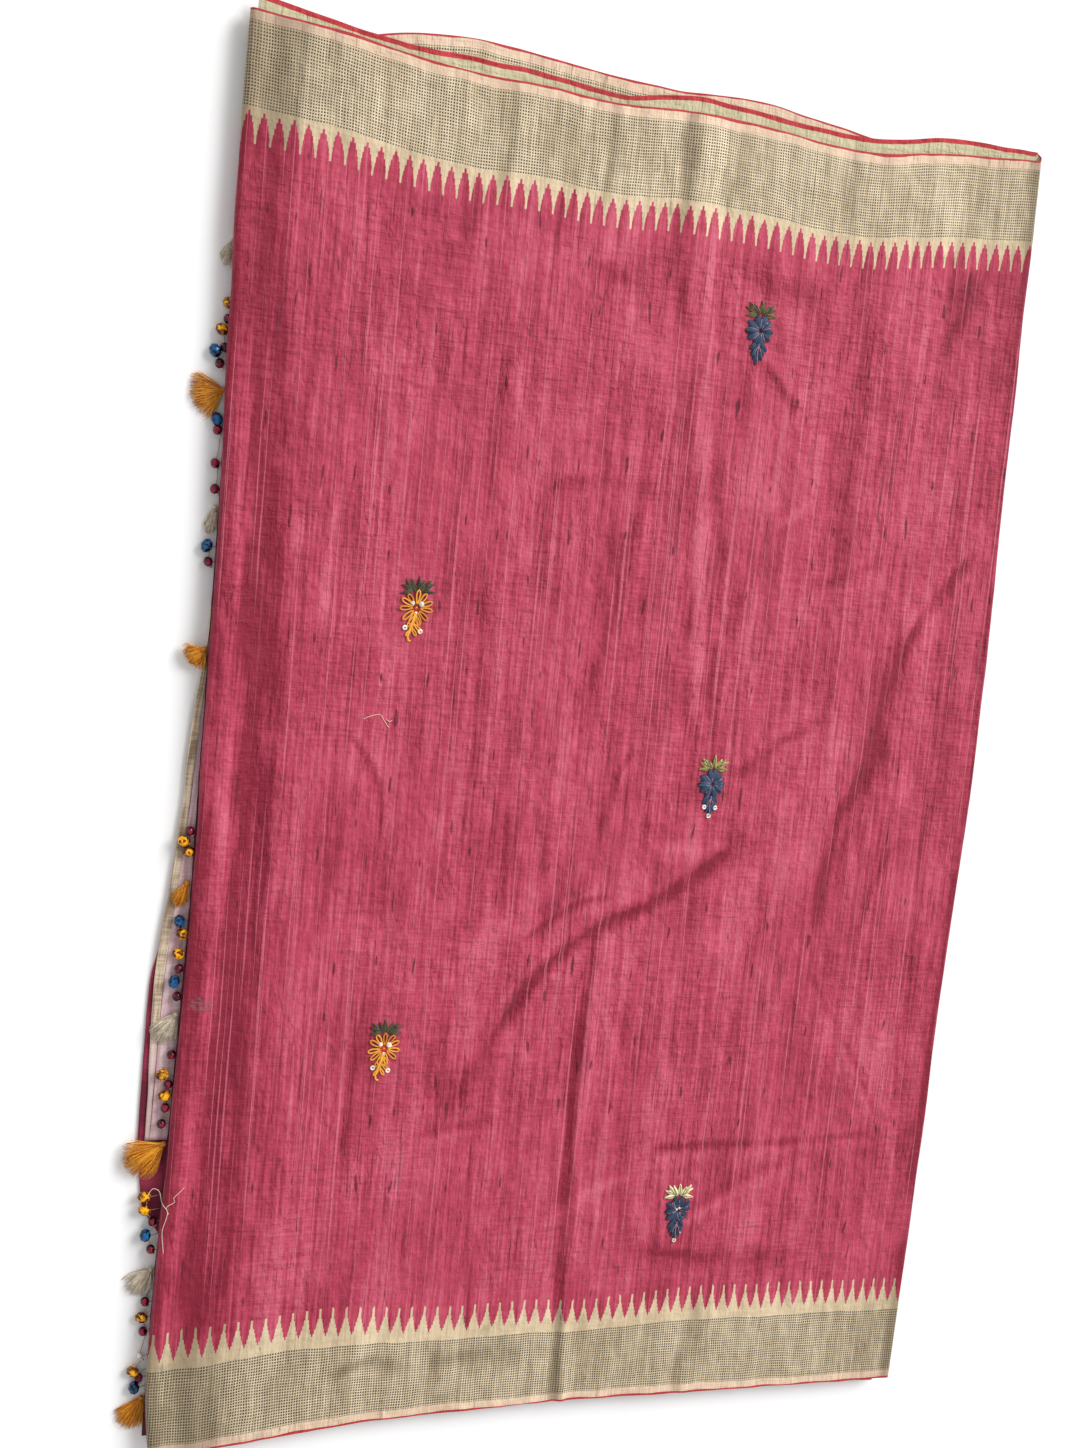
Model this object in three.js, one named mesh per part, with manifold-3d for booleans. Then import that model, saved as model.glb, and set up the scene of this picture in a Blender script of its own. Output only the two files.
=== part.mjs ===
// A sari folded in eight along its length and laid flat. X runs from fold to fold, Y from the
// lower selvedge to the upper one, and Z up from the surface it lies on, in millimetres. The
// origin is under the middle of the folded panel. The front panel wraps round the folded edges,
// its second and third layers show along the upper selvedge, and the tasselled pallu end and
// three inner edges show along the left fold. The other layers are one solid, ridged at its edges.

import * as THREE from "three";
import { mergeVertices } from "three/addons/utils/BufferGeometryUtils.js";
import Module from "manifold-3d";

const wasm = await Module();
wasm.setup();

// ---------------------------------------------------------------- driving dimensions

const WALL = 1.4; // one layer of cloth, with the air it holds
const GAP = 0.3; // left between pieces that touch

const HIDDEN_LAYERS = 5; // layers in the core, each a ridge at its edges
const RIM_HEIGHT = 9.4; // top of the core's rim under the third layer
const THIRD_MID = RIM_HEIGHT + GAP + WALL / 2;
const SECOND_MID = THIRD_MID + WALL + GAP;
const HIGH_RIM = SECOND_MID - WALL / 2 - GAP; // top of the rim where only the second layer lies on it
const CORE_HEIGHT = SECOND_MID + WALL / 2; // top of the core away from its edges
const FRONT_MID = CORE_HEIGHT + GAP + WALL / 2; // the front where it lies closest

const BASE_RELIEF = 1.7; // how far the front stands above that on average
const FOLD_PUFF = 1.3; // extra height of the front beside its two folds
const PUFF_REACH = 16; // how far in from a fold the cloth is puffed
const RIGHT_RETURN = 12; // cloth that goes on under the right fold
const LEFT_RETURN = 9; // cloth that goes on under the left fold
const BAND_DEPTH = 48; // hidden part of a layer that shows at a selvedge
const PALLU_NOTCH = 10; // room under the left fold for what hangs on the pallu's edge

const FRONT_COLUMNS = 40;
const FRONT_ROWS = 26;
const TURN_STEPS = 5; // steps round a fold
const BAND_COLUMNS = 36;
const CORE_COLUMNS = 18;
const CORE_ROWS = 16;

// The edges of the layers along X: the front's upper selvedge, the second and third layers'
// where they stand out above it, and the front's lower selvedge.
const SELVEDGES = [
  { x: -346, front: 558, second: 571, third: 545, lower: -560 },
  { x: -290, front: 555, second: 562, third: 548, lower: -558 },
  { x: -230, front: 547, second: 555, third: 562, lower: -553 },
  { x: -170, front: 542, second: 554, third: 568, lower: -549 },
  { x: -110, front: 542, second: 552, third: 564, lower: -548 },
  { x: -50, front: 539, second: 547, third: 560, lower: -548 },
  { x: 10, front: 543, second: 556, third: 559, lower: -548 },
  { x: 70, front: 543, second: 554, third: 562, lower: -550 },
  { x: 130, front: 538, second: 550, third: 556, lower: -552 },
  { x: 190, front: 538, second: 551, third: 549, lower: -554 },
  { x: 250, front: 548, second: 561, third: 545, lower: -556 },
  { x: 345, front: 556, second: 564, third: 545, lower: -559 },
];

// The two folded edges along Y.
const FOLD_LINES = [
  { y: -560, left: -346, right: 344 },
  { y: -500, left: -352, right: 345 },
  { y: -440, left: -351, right: 346 },
  { y: -330, left: -348, right: 348 },
  { y: -220, left: -345, right: 349 },
  { y: -110, left: -343, right: 352 },
  { y: 0, left: -343, right: 354 },
  { y: 110, left: -343, right: 353 },
  { y: 220, left: -344, right: 351 },
  { y: 330, left: -346, right: 349 },
  { y: 440, left: -348, right: 347 },
  { y: 570, left: -346, right: 345 },
];

// The largest creases of the front: a ridge has a height over zero and a trough one under it,
// and the width is that of its soft bell from the middle to where it has mostly died away.
const CREASES = [
  { height: -1.5, width: 15, path: [[-300, 330], [-302, 131], [-297, -104], [-312, -306], [-318, -470]] },
  { height: 1.4, width: 10, path: [[-330, 190], [-327, 14], [-327, -168], [-334, -330]] },
  { height: 1.5, width: 18, path: [[-290, 459], [-263, 164], [-264, -23], [-267, -350]] },
  { height: -1.6, width: 11, path: [[10, 560], [6, 478], [22, 405]] },
  { height: 2.4, width: 13, path: [[28, 560], [42, 376], [45, 237], [34, 53]] },
  { height: -1.6, width: 11, path: [[265, 437], [309, 278], [267, 134], [221, -10], [197, -136]] },
  { height: 1.5, width: 14, path: [[292, 437], [334, 278], [238, 89], [171, -30]] },
  { height: -1.3, width: 10, path: [[189, 73], [126, -40], [4, -136], [-59, -187], [-114, -259]] },
  { height: -1.6, width: 10, path: [[4, -136], [0, -259], [-1, -392], [-7, -560]] },
  { height: 1.7, width: 15, path: [[19, -154], [24, -277], [26, -420]] },
];

// The inner edges that show to the left of the left fold, from the floor up.
const DEEP_FOLD = { bottom: 0, top: 2.6 };
const PALE_LAYER = { bottom: DEEP_FOLD.top + GAP, top: DEEP_FOLD.top + GAP + 1.2 };
const HEM_TOP = DEEP_FOLD.top + GAP + 2;
const GOLDEN_HEM = { bottom: DEEP_FOLD.top + GAP, top: HEM_TOP };
const DEEP_FOLD_EDGE = [
  { y: -395, outer: -357 },
  { y: -345, outer: -364 },
  { y: -300, outer: -369 },
  { y: -212, outer: -369 },
  { y: -167, outer: -368 },
  { y: -130, outer: -360 },
  { y: -20, outer: -349 },
  { y: 110, outer: -341 },
];
const GOLDEN_HEM_EDGES = [
  { y: -300, outer: -364, inner: -361 },
  { y: -218, outer: -365, inner: -359.5 },
  { y: -166, outer: -365, inner: -358 },
  { y: -76, outer: -357, inner: -351 },
  { y: -20, outer: -353, inner: -347.5 },
  { y: 43, outer: -350, inner: -344 },
  { y: 75, outer: -346, inner: -342 },
  { y: 127, outer: -342, inner: -339.5 },
];

const PALLU_WALL = 1.2; // its cloth is pressed flat
// The pallu's edge, tucked under the left fold: the line its maroon beads lie on, and the height
// of the middle of its cloth, which climbs over the inner edges.
const PALLU_EDGE = [
  { y: -548, beads: -354, z: 3.9 },
  { y: -411, beads: -353.2, z: 3.9 },
  { y: -396, beads: -353, z: 6.5 },
  { y: -322, beads: -352, z: 6.5 },
  { y: -294, beads: -351, z: 8.4 },
  { y: -224, beads: -349.5, z: 8.4 },
  { y: -110, beads: -347.2, z: 8.4 },
  { y: 135, beads: -347, z: 8.4 },
  { y: 165, beads: -346, z: 3.9 },
  { y: 300, beads: -346, z: 3.9 },
  { y: 404, beads: -344, z: 3.9 },
];

// Each tassel is tied at the pallu's edge and lies towards the middle of its fanned tips, on the
// floor or on a layer.
const TASSELS = [
  { colour: "grey", y: 398, tipX: -350, tipY: 377, fan: 12, lies: 0 },
  { colour: "mustard", y: 285, tipX: -367, tipY: 277, fan: 34, lies: 0 },
  { colour: "grey", y: 197, tipX: -348, tipY: 178, fan: 10, lies: 0 },
  { colour: "mustard", y: 90, tipX: -357, tipY: 80, fan: 24, lies: HEM_TOP },
  { colour: "mustard", y: -92, tipX: -353, tipY: -110, fan: 12, lies: HEM_TOP },
  { colour: "grey", y: -197, tipX: -360, tipY: -218, fan: 22, lies: HEM_TOP },
  { colour: "mustard", y: -302, tipX: -376, tipY: -321, fan: 34, lies: HEM_TOP },
  { colour: "grey", y: -408, tipX: -366, tipY: -426, fan: 24, lies: 0 },
  { colour: "mustard", y: -516, tipX: -364, tipY: -539, fan: 26, lies: 0 },
];
const LOCKS_PER_TASSEL = 9;
const HEAD_RADIUS = 2.3;
const LOCK_RADIUS = 1.1;

// Each string of beads between two tassels, with the kinds of its beads in order down the edge.
const BEAD_STRINGS = [
  { from: 349, to: 304, lies: 0, kinds: "yellow maroon yellow maroon blue maroon" },
  { from: 262, to: 212, lies: 0, kinds: "blue maroon maroon maroon" },
  { from: 168, to: 154, lies: 0, kinds: "blue maroon" },
  { from: -48, to: -70, lies: HEM_TOP, kinds: "maroon yellow yellow" },
  { from: -124, to: -184, lies: HEM_TOP, kinds: "blue yellow yellow maroon blue maroon" },
  { from: -230, to: -288, lies: HEM_TOP, kinds: "maroon yellow maroon yellow maroon maroon" },
  { from: -336, to: -392, lies: DEEP_FOLD.top, kinds: "yellow yellow maroon blue maroon" },
  { from: -436, to: -506, lies: 0, kinds: "maroon yellow maroon maroon yellow maroon blue" },
];
const BEADS = {
  maroon: { radius: 3.6, reach: 0 },
  yellow: { radius: 4.1, reach: 6 },
  blue: { radius: 3.8, reach: 5 },
};
const THREAD_RADIUS = 0.8;
const CLOTH_TO_BEADS = BEADS.maroon.radius + GAP; // from the line of maroon beads in to the cloth

// The embroidered sprigs on the front, each a flower with leaves above and a tail below.
const SPRIGS = [
  { x: -183, y: 135, colour: 0xe0992b },
  { x: -177, y: -225, colour: 0xd8a03a },
  { x: 92, y: 382, colour: 0x2f5f9e },
  { x: 93, y: -1, colour: 0x3d6ea6 },
  { x: 105, y: -381, colour: 0x2a5c98 },
];
const SPRIG_THICKNESS = 1.1;
const FLOWER_RADIUS = 16;
const PETALS = 10;
const STEM_HALF_WIDTH = 0.5;
// The leaves up one side of the stem and the spikes down one side of the tail: where each leaves
// the stem, how far it leans from level, and its size. The last of each stands on the stem's end.
const LEAVES = [
  { y: 16.5, lean: 0.3, length: 10, width: 4.2 },
  { y: 21, lean: 0.75, length: 9, width: 4.2 },
];
const TOP_LEAF = { y: 24, lean: Math.PI / 2, length: 9, width: 4.2 };
const TAIL_SPIKE = { y: -16.5, lean: -0.95, length: 14, width: 3.6 };
const TAIL_END = { y: -18, lean: -Math.PI / 2, length: 16, width: 3.6 };

const COLOURS = {
  field: 0xbe4e64,
  reverse: 0xc9bf98,
  border: 0xd9bb98,
  core: 0xa8455a,
  hem: 0xa89a76,
  pale: 0xcdb0b0,
  deep: 0x8c2f45,
  pallu: 0x74283c,
  mustard: 0xd79a2e,
  grey: 0xb3aa92,
  beads: 0x7a1830,
};

// ---------------------------------------------------------------- shared functions

const lerp = THREE.MathUtils.lerp;

// One column of a table read at any key, along a smooth curve through the rows.
function readTable(table, key, column, at) {
  const last = table.length - 1;
  const inside = THREE.MathUtils.clamp(at, table[0][key], table[last][key]);
  let i = 0;
  while (i < last - 1 && table[i + 1][key] < inside) {
    i += 1;
  }
  const slope = (a, b) => (table[b][column] - table[a][column]) / (table[b][key] - table[a][key]);
  const span = table[i + 1][key] - table[i][key];
  const t = (inside - table[i][key]) / span;
  const startSlope = slope(Math.max(i - 1, 0), i + 1) * span;
  const endSlope = slope(i, Math.min(i + 2, last)) * span;
  const start = table[i][column];
  const end = table[i + 1][column];
  return (
    start * (2 * t ** 3 - 3 * t ** 2 + 1) +
    startSlope * (t ** 3 - 2 * t ** 2 + t) +
    end * (3 * t ** 2 - 2 * t ** 3) +
    endSlope * (t ** 3 - t ** 2)
  );
}

const selvedge = (name, x) => readTable(SELVEDGES, "x", name, x);
const foldLine = (side, y) => readTable(FOLD_LINES, "y", side, y);

// Shortest distance from a point to a path of [x, y] points.
function distanceToPath(x, y, path) {
  let nearest = Infinity;
  for (let i = 0; i < path.length - 1; i += 1) {
    const [ax, ay] = path[i];
    const [bx, by] = path[i + 1];
    const along = ((x - ax) * (bx - ax) + (y - ay) * (by - ay)) / ((bx - ax) ** 2 + (by - ay) ** 2);
    const t = THREE.MathUtils.clamp(along, 0, 1);
    nearest = Math.min(nearest, Math.hypot(x - lerp(ax, bx, t), y - lerp(ay, by, t)));
  }
  return nearest;
}

// How far the front stands above the layer under it.
function relief(x, y) {
  let height = BASE_RELIEF;
  for (const crease of CREASES) {
    height += crease.height * Math.exp(-((distanceToPath(x, y, crease.path) / crease.width) ** 2));
  }
  const fromFold = Math.min(x - foldLine("left", y), foldLine("right", y) - x);
  height += FOLD_PUFF * Math.exp(-((Math.max(fromFold, 0) / PUFF_REACH) ** 2));
  return Math.max(height, 0);
}

// A geometry from points and the triangles that join them.
function geometryFrom(points, triangles) {
  const geometry = new THREE.BufferGeometry();
  const numbers = points.flatMap((point) => point.toArray());
  geometry.setAttribute("position", new THREE.Float32BufferAttribute(numbers, 3));
  geometry.setIndex(triangles);
  geometry.computeVertexNormals();
  return geometry;
}

// A closed wall about a grid of points, grid[column][row], that runs through its middle. Its
// outer side is where column direction x row direction points.
function wall(grid, thickness = WALL) {
  const columns = grid.length;
  const rows = grid[0].length;
  const { clamp } = THREE.MathUtils;
  const at = (i, j) => grid[clamp(i, 0, columns - 1)][clamp(j, 0, rows - 1)];
  const outer = [];
  const inner = [];
  for (let i = 0; i < columns; i += 1) {
    for (let j = 0; j < rows; j += 1) {
      const across = at(i + 1, j).clone().sub(at(i - 1, j));
      const along = at(i, j + 1).clone().sub(at(i, j - 1));
      const normal = across.cross(along).normalize();
      outer.push(at(i, j).clone().addScaledVector(normal, thickness / 2));
      inner.push(at(i, j).clone().addScaledVector(normal, -thickness / 2));
    }
  }
  const count = columns * rows;
  const index = (i, j) => i * rows + j;
  const triangles = [];
  const quad = (a, b, c, d) => triangles.push(a, b, c, a, c, d);
  for (let i = 0; i < columns - 1; i += 1) {
    for (let j = 0; j < rows - 1; j += 1) {
      const [a, b, c, d] = [index(i, j), index(i + 1, j), index(i + 1, j + 1), index(i, j + 1)];
      quad(a, b, c, d);
      quad(count + a, count + d, count + c, count + b);
    }
    quad(index(i, 0), count + index(i, 0), count + index(i + 1, 0), index(i + 1, 0));
    const [left, right] = [index(i, rows - 1), index(i + 1, rows - 1)];
    quad(right, count + right, count + left, left);
  }
  for (let j = 0; j < rows - 1; j += 1) {
    const end = index(columns - 1, j);
    quad(j + 1, count + j + 1, count + j, j);
    quad(end, count + end, count + end + 1, end + 1);
  }
  return geometryFrom([...outer, ...inner], triangles);
}

// A closed solid through rings with the same number of points, anticlockwise seen from the end
// it grows towards. Each end is a flat polygon in the two axes given.
function loft(rings, firstAxis, secondAxis) {
  const size = rings[0].length;
  const points = rings.flat();
  const triangles = [];
  for (let ring = 0; ring < rings.length - 1; ring += 1) {
    for (let i = 0; i < size; i += 1) {
      const a = ring * size + i;
      const b = ring * size + ((i + 1) % size);
      triangles.push(a, b, b + size, a, b + size, a + size);
    }
  }
  const flat = (ring) => ring.map((p) => new THREE.Vector2(p[firstAxis], p[secondAxis]));
  const lastStart = (rings.length - 1) * size;
  for (const [a, b, c] of THREE.ShapeUtils.triangulateShape(flat(rings[0]), [])) {
    triangles.push(a, c, b);
  }
  for (const [a, b, c] of THREE.ShapeUtils.triangulateShape(flat(rings.at(-1)), [])) {
    triangles.push(lastStart + a, lastStart + b, lastStart + c);
  }
  return geometryFrom(points, triangles);
}

// A closed geometry as a manifold solid, for joining.
function solid(geometry) {
  const bare = geometry.clone();
  bare.deleteAttribute("normal");
  bare.deleteAttribute("uv");
  const merged = mergeVertices(bare, 1e-4);
  return new wasm.Manifold(
    new wasm.Mesh({
      numProp: 3,
      vertProperties: new Float32Array(merged.attributes.position.array),
      triVerts: new Uint32Array(merged.index.array),
    }),
  );
}

// Closed geometries joined into one.
function joined(geometries) {
  const result = geometries.map(solid).reduce((whole, piece) => whole.add(piece)).getMesh();
  const geometry = new THREE.BufferGeometry();
  geometry.setAttribute("position", new THREE.Float32BufferAttribute(result.vertProperties, 3));
  geometry.setIndex(Array.from(result.triVerts));
  geometry.computeVertexNormals();
  return geometry;
}

// A straight bar of a few sides between two points, with a radius at each end.
function taperedBar(start, end, startRadius, endRadius, sides) {
  const length = start.distanceTo(end);
  const bar = new THREE.CylinderGeometry(endRadius, startRadius, length, sides);
  const direction = end.clone().sub(start).normalize();
  bar.applyQuaternion(new THREE.Quaternion().setFromUnitVectors(new THREE.Vector3(0, 1, 0), direction));
  const middle = start.clone().add(end).multiplyScalar(0.5);
  bar.translate(middle.x, middle.y, middle.z);
  return bar;
}

function meshOf(name, geometry, color, roughness = 0.85) {
  const mesh = new THREE.Mesh(geometry, new THREE.MeshStandardMaterial({ color, roughness, metalness: 0 }));
  mesh.name = name;
  return mesh;
}

// ---------------------------------------------------------------- cloth

// The front panel's middle surface: a short return under the left fold, round the fold, across
// the top, round the right fold and a short return under it, where it becomes the second layer.
function frontPanel() {
  const stations = [{ zone: "leftReturn", f: 0 }];
  for (let k = 0; k <= TURN_STEPS; k += 1) {
    stations.push({ zone: "leftTurn", f: k / TURN_STEPS });
  }
  for (let k = 1; k < FRONT_COLUMNS; k += 1) {
    stations.push({ zone: "top", f: k / FRONT_COLUMNS });
  }
  for (let k = 0; k <= TURN_STEPS; k += 1) {
    stations.push({ zone: "rightTurn", f: k / TURN_STEPS });
  }
  stations.push({ zone: "rightReturn", f: 1 });

  const point = ({ zone, f }, t) => {
    const nominalY = lerp(SELVEDGES[0].lower, SELVEDGES[0].front, t);
    const left = foldLine("left", nominalY);
    const right = foldLine("right", nominalY);
    const leftTop = FRONT_MID + relief(left + WALL, nominalY);
    const rightTop = FRONT_MID + relief(right - WALL, nominalY);
    const leftRadius = (leftTop - THIRD_MID) / 2;
    const rightRadius = (rightTop - SECOND_MID) / 2;
    let x;
    let z;
    let turned = 0;
    if (zone === "leftReturn") {
      x = left + leftRadius + LEFT_RETURN;
      z = THIRD_MID;
    } else if (zone === "leftTurn") {
      const angle = Math.PI * (1.5 - f);
      x = left + leftRadius + leftRadius * Math.cos(angle);
      z = THIRD_MID + leftRadius + leftRadius * Math.sin(angle);
    } else if (zone === "top") {
      x = lerp(left + leftRadius, right - rightRadius, f);
      z = FRONT_MID + relief(x, nominalY);
    } else if (zone === "rightTurn") {
      const angle = Math.PI * (0.5 - f);
      x = right - rightRadius + rightRadius * Math.cos(angle);
      z = SECOND_MID + rightRadius + rightRadius * Math.sin(angle);
      turned = f;
    } else {
      x = right - rightRadius - RIGHT_RETURN;
      z = SECOND_MID;
      turned = 1;
    }
    const upper = lerp(selvedge("front", x), selvedge("second", x), turned);
    return new THREE.Vector3(x, lerp(selvedge("lower", x), upper, t), z);
  };

  const grid = stations.map((station) =>
    Array.from({ length: FRONT_ROWS + 1 }, (_, j) => point(station, j / FRONT_ROWS)),
  );
  return meshOf("front_panel", wall(grid), COLOURS.field);
}

// A layer that shows along a selvedge: a flat strip from its edge to a line hidden under the front.
function selvedgeBand(name, mid, fromX, toX, edgeAt, hiddenAt, color) {
  const rows = 2;
  const grid = Array.from({ length: BAND_COLUMNS + 1 }, (_, i) => {
    const x = lerp(fromX, toX, i / BAND_COLUMNS);
    const [low, high] = [edgeAt(x), hiddenAt(x)].sort((a, b) => a - b);
    return Array.from({ length: rows + 1 }, (_, j) => new THREE.Vector3(x, lerp(low, high, j / rows), mid));
  });
  return meshOf(name, wall(grid), color);
}

// Where the front's return under the right fold ends, and the second layer's bands begin.
const RIGHT_END = Math.min(...FOLD_LINES.map((row) => row.right)) - RIGHT_RETURN - 2 * WALL - 1;
const LEFT_END = Math.max(...FOLD_LINES.map((row) => row.left)) + WALL + 1;
const THIRD_FROM = -284;
const THIRD_TO = 200;

const layerBands = () => [
  selvedgeBand(
    "second_layer",
    SECOND_MID,
    LEFT_END,
    RIGHT_END,
    (x) => selvedge("second", x),
    (x) => selvedge("front", x) - BAND_DEPTH,
    COLOURS.reverse,
  ),
  selvedgeBand(
    "third_layer",
    THIRD_MID,
    THIRD_FROM,
    THIRD_TO,
    (x) => selvedge("third", x),
    (x) => selvedge("front", x) - BAND_DEPTH,
    COLOURS.border,
  ),
  selvedgeBand(
    "second_layer_foot",
    SECOND_MID,
    LEFT_END + LEFT_RETURN,
    RIGHT_END,
    (x) => selvedge("lower", x) + lerp(2, -3, THREE.MathUtils.smoothstep(x, 250, 320)),
    (x) => selvedge("lower", x) + BAND_DEPTH,
    COLOURS.reverse,
  ),
];

// The hidden layers: one solid, flat underneath, whose edges show a ridge for each layer and
// whose top steps up inside the layers that lie on its rim. The rim is lower at the left and
// upper edges, where one more layer lies on it.
function coreLayers() {
  const corners = [
    { from: [0, 0], to: [1, 0], steps: CORE_COLUMNS },
    { from: [1, 0], to: [1, 1], steps: CORE_ROWS },
    { from: [1, 1], to: [0, 1], steps: CORE_COLUMNS },
    { from: [0, 1], to: [0, 0], steps: CORE_ROWS },
  ];
  const loop = corners.flatMap(({ from, to, steps }) =>
    Array.from({ length: steps }, (_, k) => [0, 1].map((axis) => lerp(from[axis], to[axis], k / steps))),
  );
  const ring = (inset, share) =>
    loop.map(([s, t]) => {
      const nominalY = lerp(SELVEDGES[0].lower, SELVEDGES[0].front, t);
      const left = foldLine("left", nominalY) + PALLU_NOTCH + inset.left;
      const right = foldLine("right", nominalY) - 2 * WALL - inset.right;
      const x = lerp(left, right, s);
      const low = selvedge("lower", x) + 3 + inset.ends;
      const high = selvedge("front", x) - 3 - inset.ends;
      const rim = s === 0 || t === 1 ? RIM_HEIGHT : HIGH_RIM;
      return new THREE.Vector3(x, lerp(low, high, t), share > 1 ? CORE_HEIGHT : share * rim);
    });
  const even = (depth) => ({ left: depth, right: depth, ends: depth });
  const rings = [ring(even(0.8), 0)];
  for (let k = 0; k < HIDDEN_LAYERS; k += 1) {
    rings.push(ring(even(0), (k + 0.5) / HIDDEN_LAYERS));
    rings.push(ring(even(1.1), (k + 1) / HIDDEN_LAYERS));
  }
  const step = { left: GAP + LEFT_RETURN, right: RIGHT_RETURN + 3 * WALL, ends: BAND_DEPTH + WALL };
  rings.push(ring(step, 1));
  rings.push(ring(step, 2));
  return meshOf("core_layers", loft(rings, "x", "y"), COLOURS.core);
}

// ---------------------------------------------------------------- inner edges at the left fold

const coreLeft = (y) => foldLine("left", y) + PALLU_NOTCH - GAP;

// A strip of cloth along Y between two lines, with its outer edge rounded.
function edgeStrip(name, { bottom, top }, ys, outerAt, innerAt, color) {
  const round = (top - bottom) / 2;
  const middle = (top + bottom) / 2;
  const rings = ys.map((y) => {
    const outer = outerAt(y);
    const inner = innerAt(y);
    const section = [[inner, bottom], [outer + round, bottom], [outer, middle - round / 2]];
    section.push([outer, middle + round / 2], [outer + round, top], [inner, top]);
    return section.map(([x, z]) => new THREE.Vector3(x, y, z));
  });
  return meshOf(name, loft(rings, "z", "x"), color);
}

function stationsBetween(low, high, steps) {
  return Array.from({ length: steps + 1 }, (_, k) => lerp(low, high, k / steps));
}

function innerEdges() {
  const deepOuter = (y) => readTable(DEEP_FOLD_EDGE, "y", "outer", y);
  const hemOuter = (y) => readTable(GOLDEN_HEM_EDGES, "y", "outer", y);
  const hemInner = (y) => readTable(GOLDEN_HEM_EDGES, "y", "inner", y);
  const hemYs = stationsBetween(GOLDEN_HEM_EDGES[0].y, GOLDEN_HEM_EDGES.at(-1).y, 14);
  const deepYs = stationsBetween(DEEP_FOLD_EDGE[0].y, DEEP_FOLD_EDGE.at(-1).y, 16);
  const paleInset = (y) => hemInner(y) + GAP;
  return [
    edgeStrip("deep_pink_fold", DEEP_FOLD, deepYs, deepOuter, coreLeft, COLOURS.deep),
    edgeStrip("pale_layer", PALE_LAYER, hemYs, paleInset, coreLeft, COLOURS.pale),
    edgeStrip("golden_hem", GOLDEN_HEM, hemYs, hemOuter, hemInner, COLOURS.hem),
  ];
}

// ---------------------------------------------------------------- tassels and beads

const beadLine = (y) => readTable(PALLU_EDGE, "y", "beads", y);
const palluCloth = (y) => beadLine(y) + CLOTH_TO_BEADS;
const palluHeight = (y) => readTable(PALLU_EDGE, "y", "z", y);

// The strip of the pallu's cloth between the core's side and what hangs on its edge.
function palluEdge() {
  const columns = [palluCloth, (y) => (palluCloth(y) + coreLeft(y)) / 2, coreLeft];
  const ys = stationsBetween(PALLU_EDGE[0].y, PALLU_EDGE.at(-1).y, 28);
  const grid = columns.map((xAt) => ys.map((y) => new THREE.Vector3(xAt(y), y, palluHeight(y))));
  return meshOf("pallu_edge", wall(grid, PALLU_WALL), COLOURS.pallu);
}

// A tassel lying on its side: a small head with locks that fan out from it.
function tassel(row, number) {
  const base = row.lies + GAP;
  const head = new THREE.Vector3(palluCloth(row.y) - GAP - HEAD_RADIUS, row.y, base + HEAD_RADIUS);
  const reach = new THREE.Vector3(row.tipX - head.x, row.tipY - head.y, 0);
  const sideways = new THREE.Vector3(-reach.y, reach.x, 0).normalize();
  const ball = new THREE.SphereGeometry(HEAD_RADIUS, 6, 4);
  ball.translate(head.x, head.y, head.z);
  const pieces = [ball];
  for (let k = 0; k < LOCKS_PER_TASSEL; k += 1) {
    const side = (2 * k) / (LOCKS_PER_TASSEL - 1) - 1;
    const length = 1 - 0.16 * side ** 2 - 0.06 * (k % 2);
    const tip = head.clone().addScaledVector(reach, length).addScaledVector(sideways, (side * row.fan) / 2);
    tip.z = base + LOCK_RADIUS + 1.3 * (k % 2);
    pieces.push(taperedBar(head, tip, LOCK_RADIUS, LOCK_RADIUS * 0.6, 3));
  }
  const name = `tassel_${String(number).padStart(2, "0")}`;
  return meshOf(name, joined(pieces), COLOURS[row.colour], 0.9);
}

// Beads tied along the pallu's edge, the yellow and blue ones hanging further out.
function beadString(row, number) {
  const kinds = row.kinds.split(" ");
  const centres = kinds.map((kind, k) => {
    const { radius, reach } = BEADS[kind];
    const y = lerp(row.from, row.to, k / (kinds.length - 1));
    return { radius, place: new THREE.Vector3(beadLine(y) - reach, y, row.lies + GAP + radius) };
  });
  const pieces = centres.map(({ radius, place }) => {
    const bead = new THREE.SphereGeometry(radius, 6, 4);
    bead.translate(place.x, place.y, place.z);
    return bead;
  });
  for (let k = 0; k < centres.length - 1; k += 1) {
    pieces.push(taperedBar(centres[k].place, centres[k + 1].place, THREAD_RADIUS, THREAD_RADIUS, 4));
  }
  return meshOf(`bead_string_${number}`, joined(pieces), COLOURS.beads, 0.2);
}

// ---------------------------------------------------------------- embroidered sprigs

// The points of one pointed lobe, from one side of its root round its tip to the other.
function lobe(rootX, rootY, angle, length, width) {
  const at = (forward, across) => [
    rootX + forward * Math.cos(angle) - across * Math.sin(angle),
    rootY + forward * Math.sin(angle) + across * Math.cos(angle),
  ];
  const half = width / 2;
  const root = half * 0.2;
  const belly = length * 0.55;
  return [at(0, -root), at(belly, -half), at(length, 0), at(belly, half), at(0, root)];
}

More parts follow.
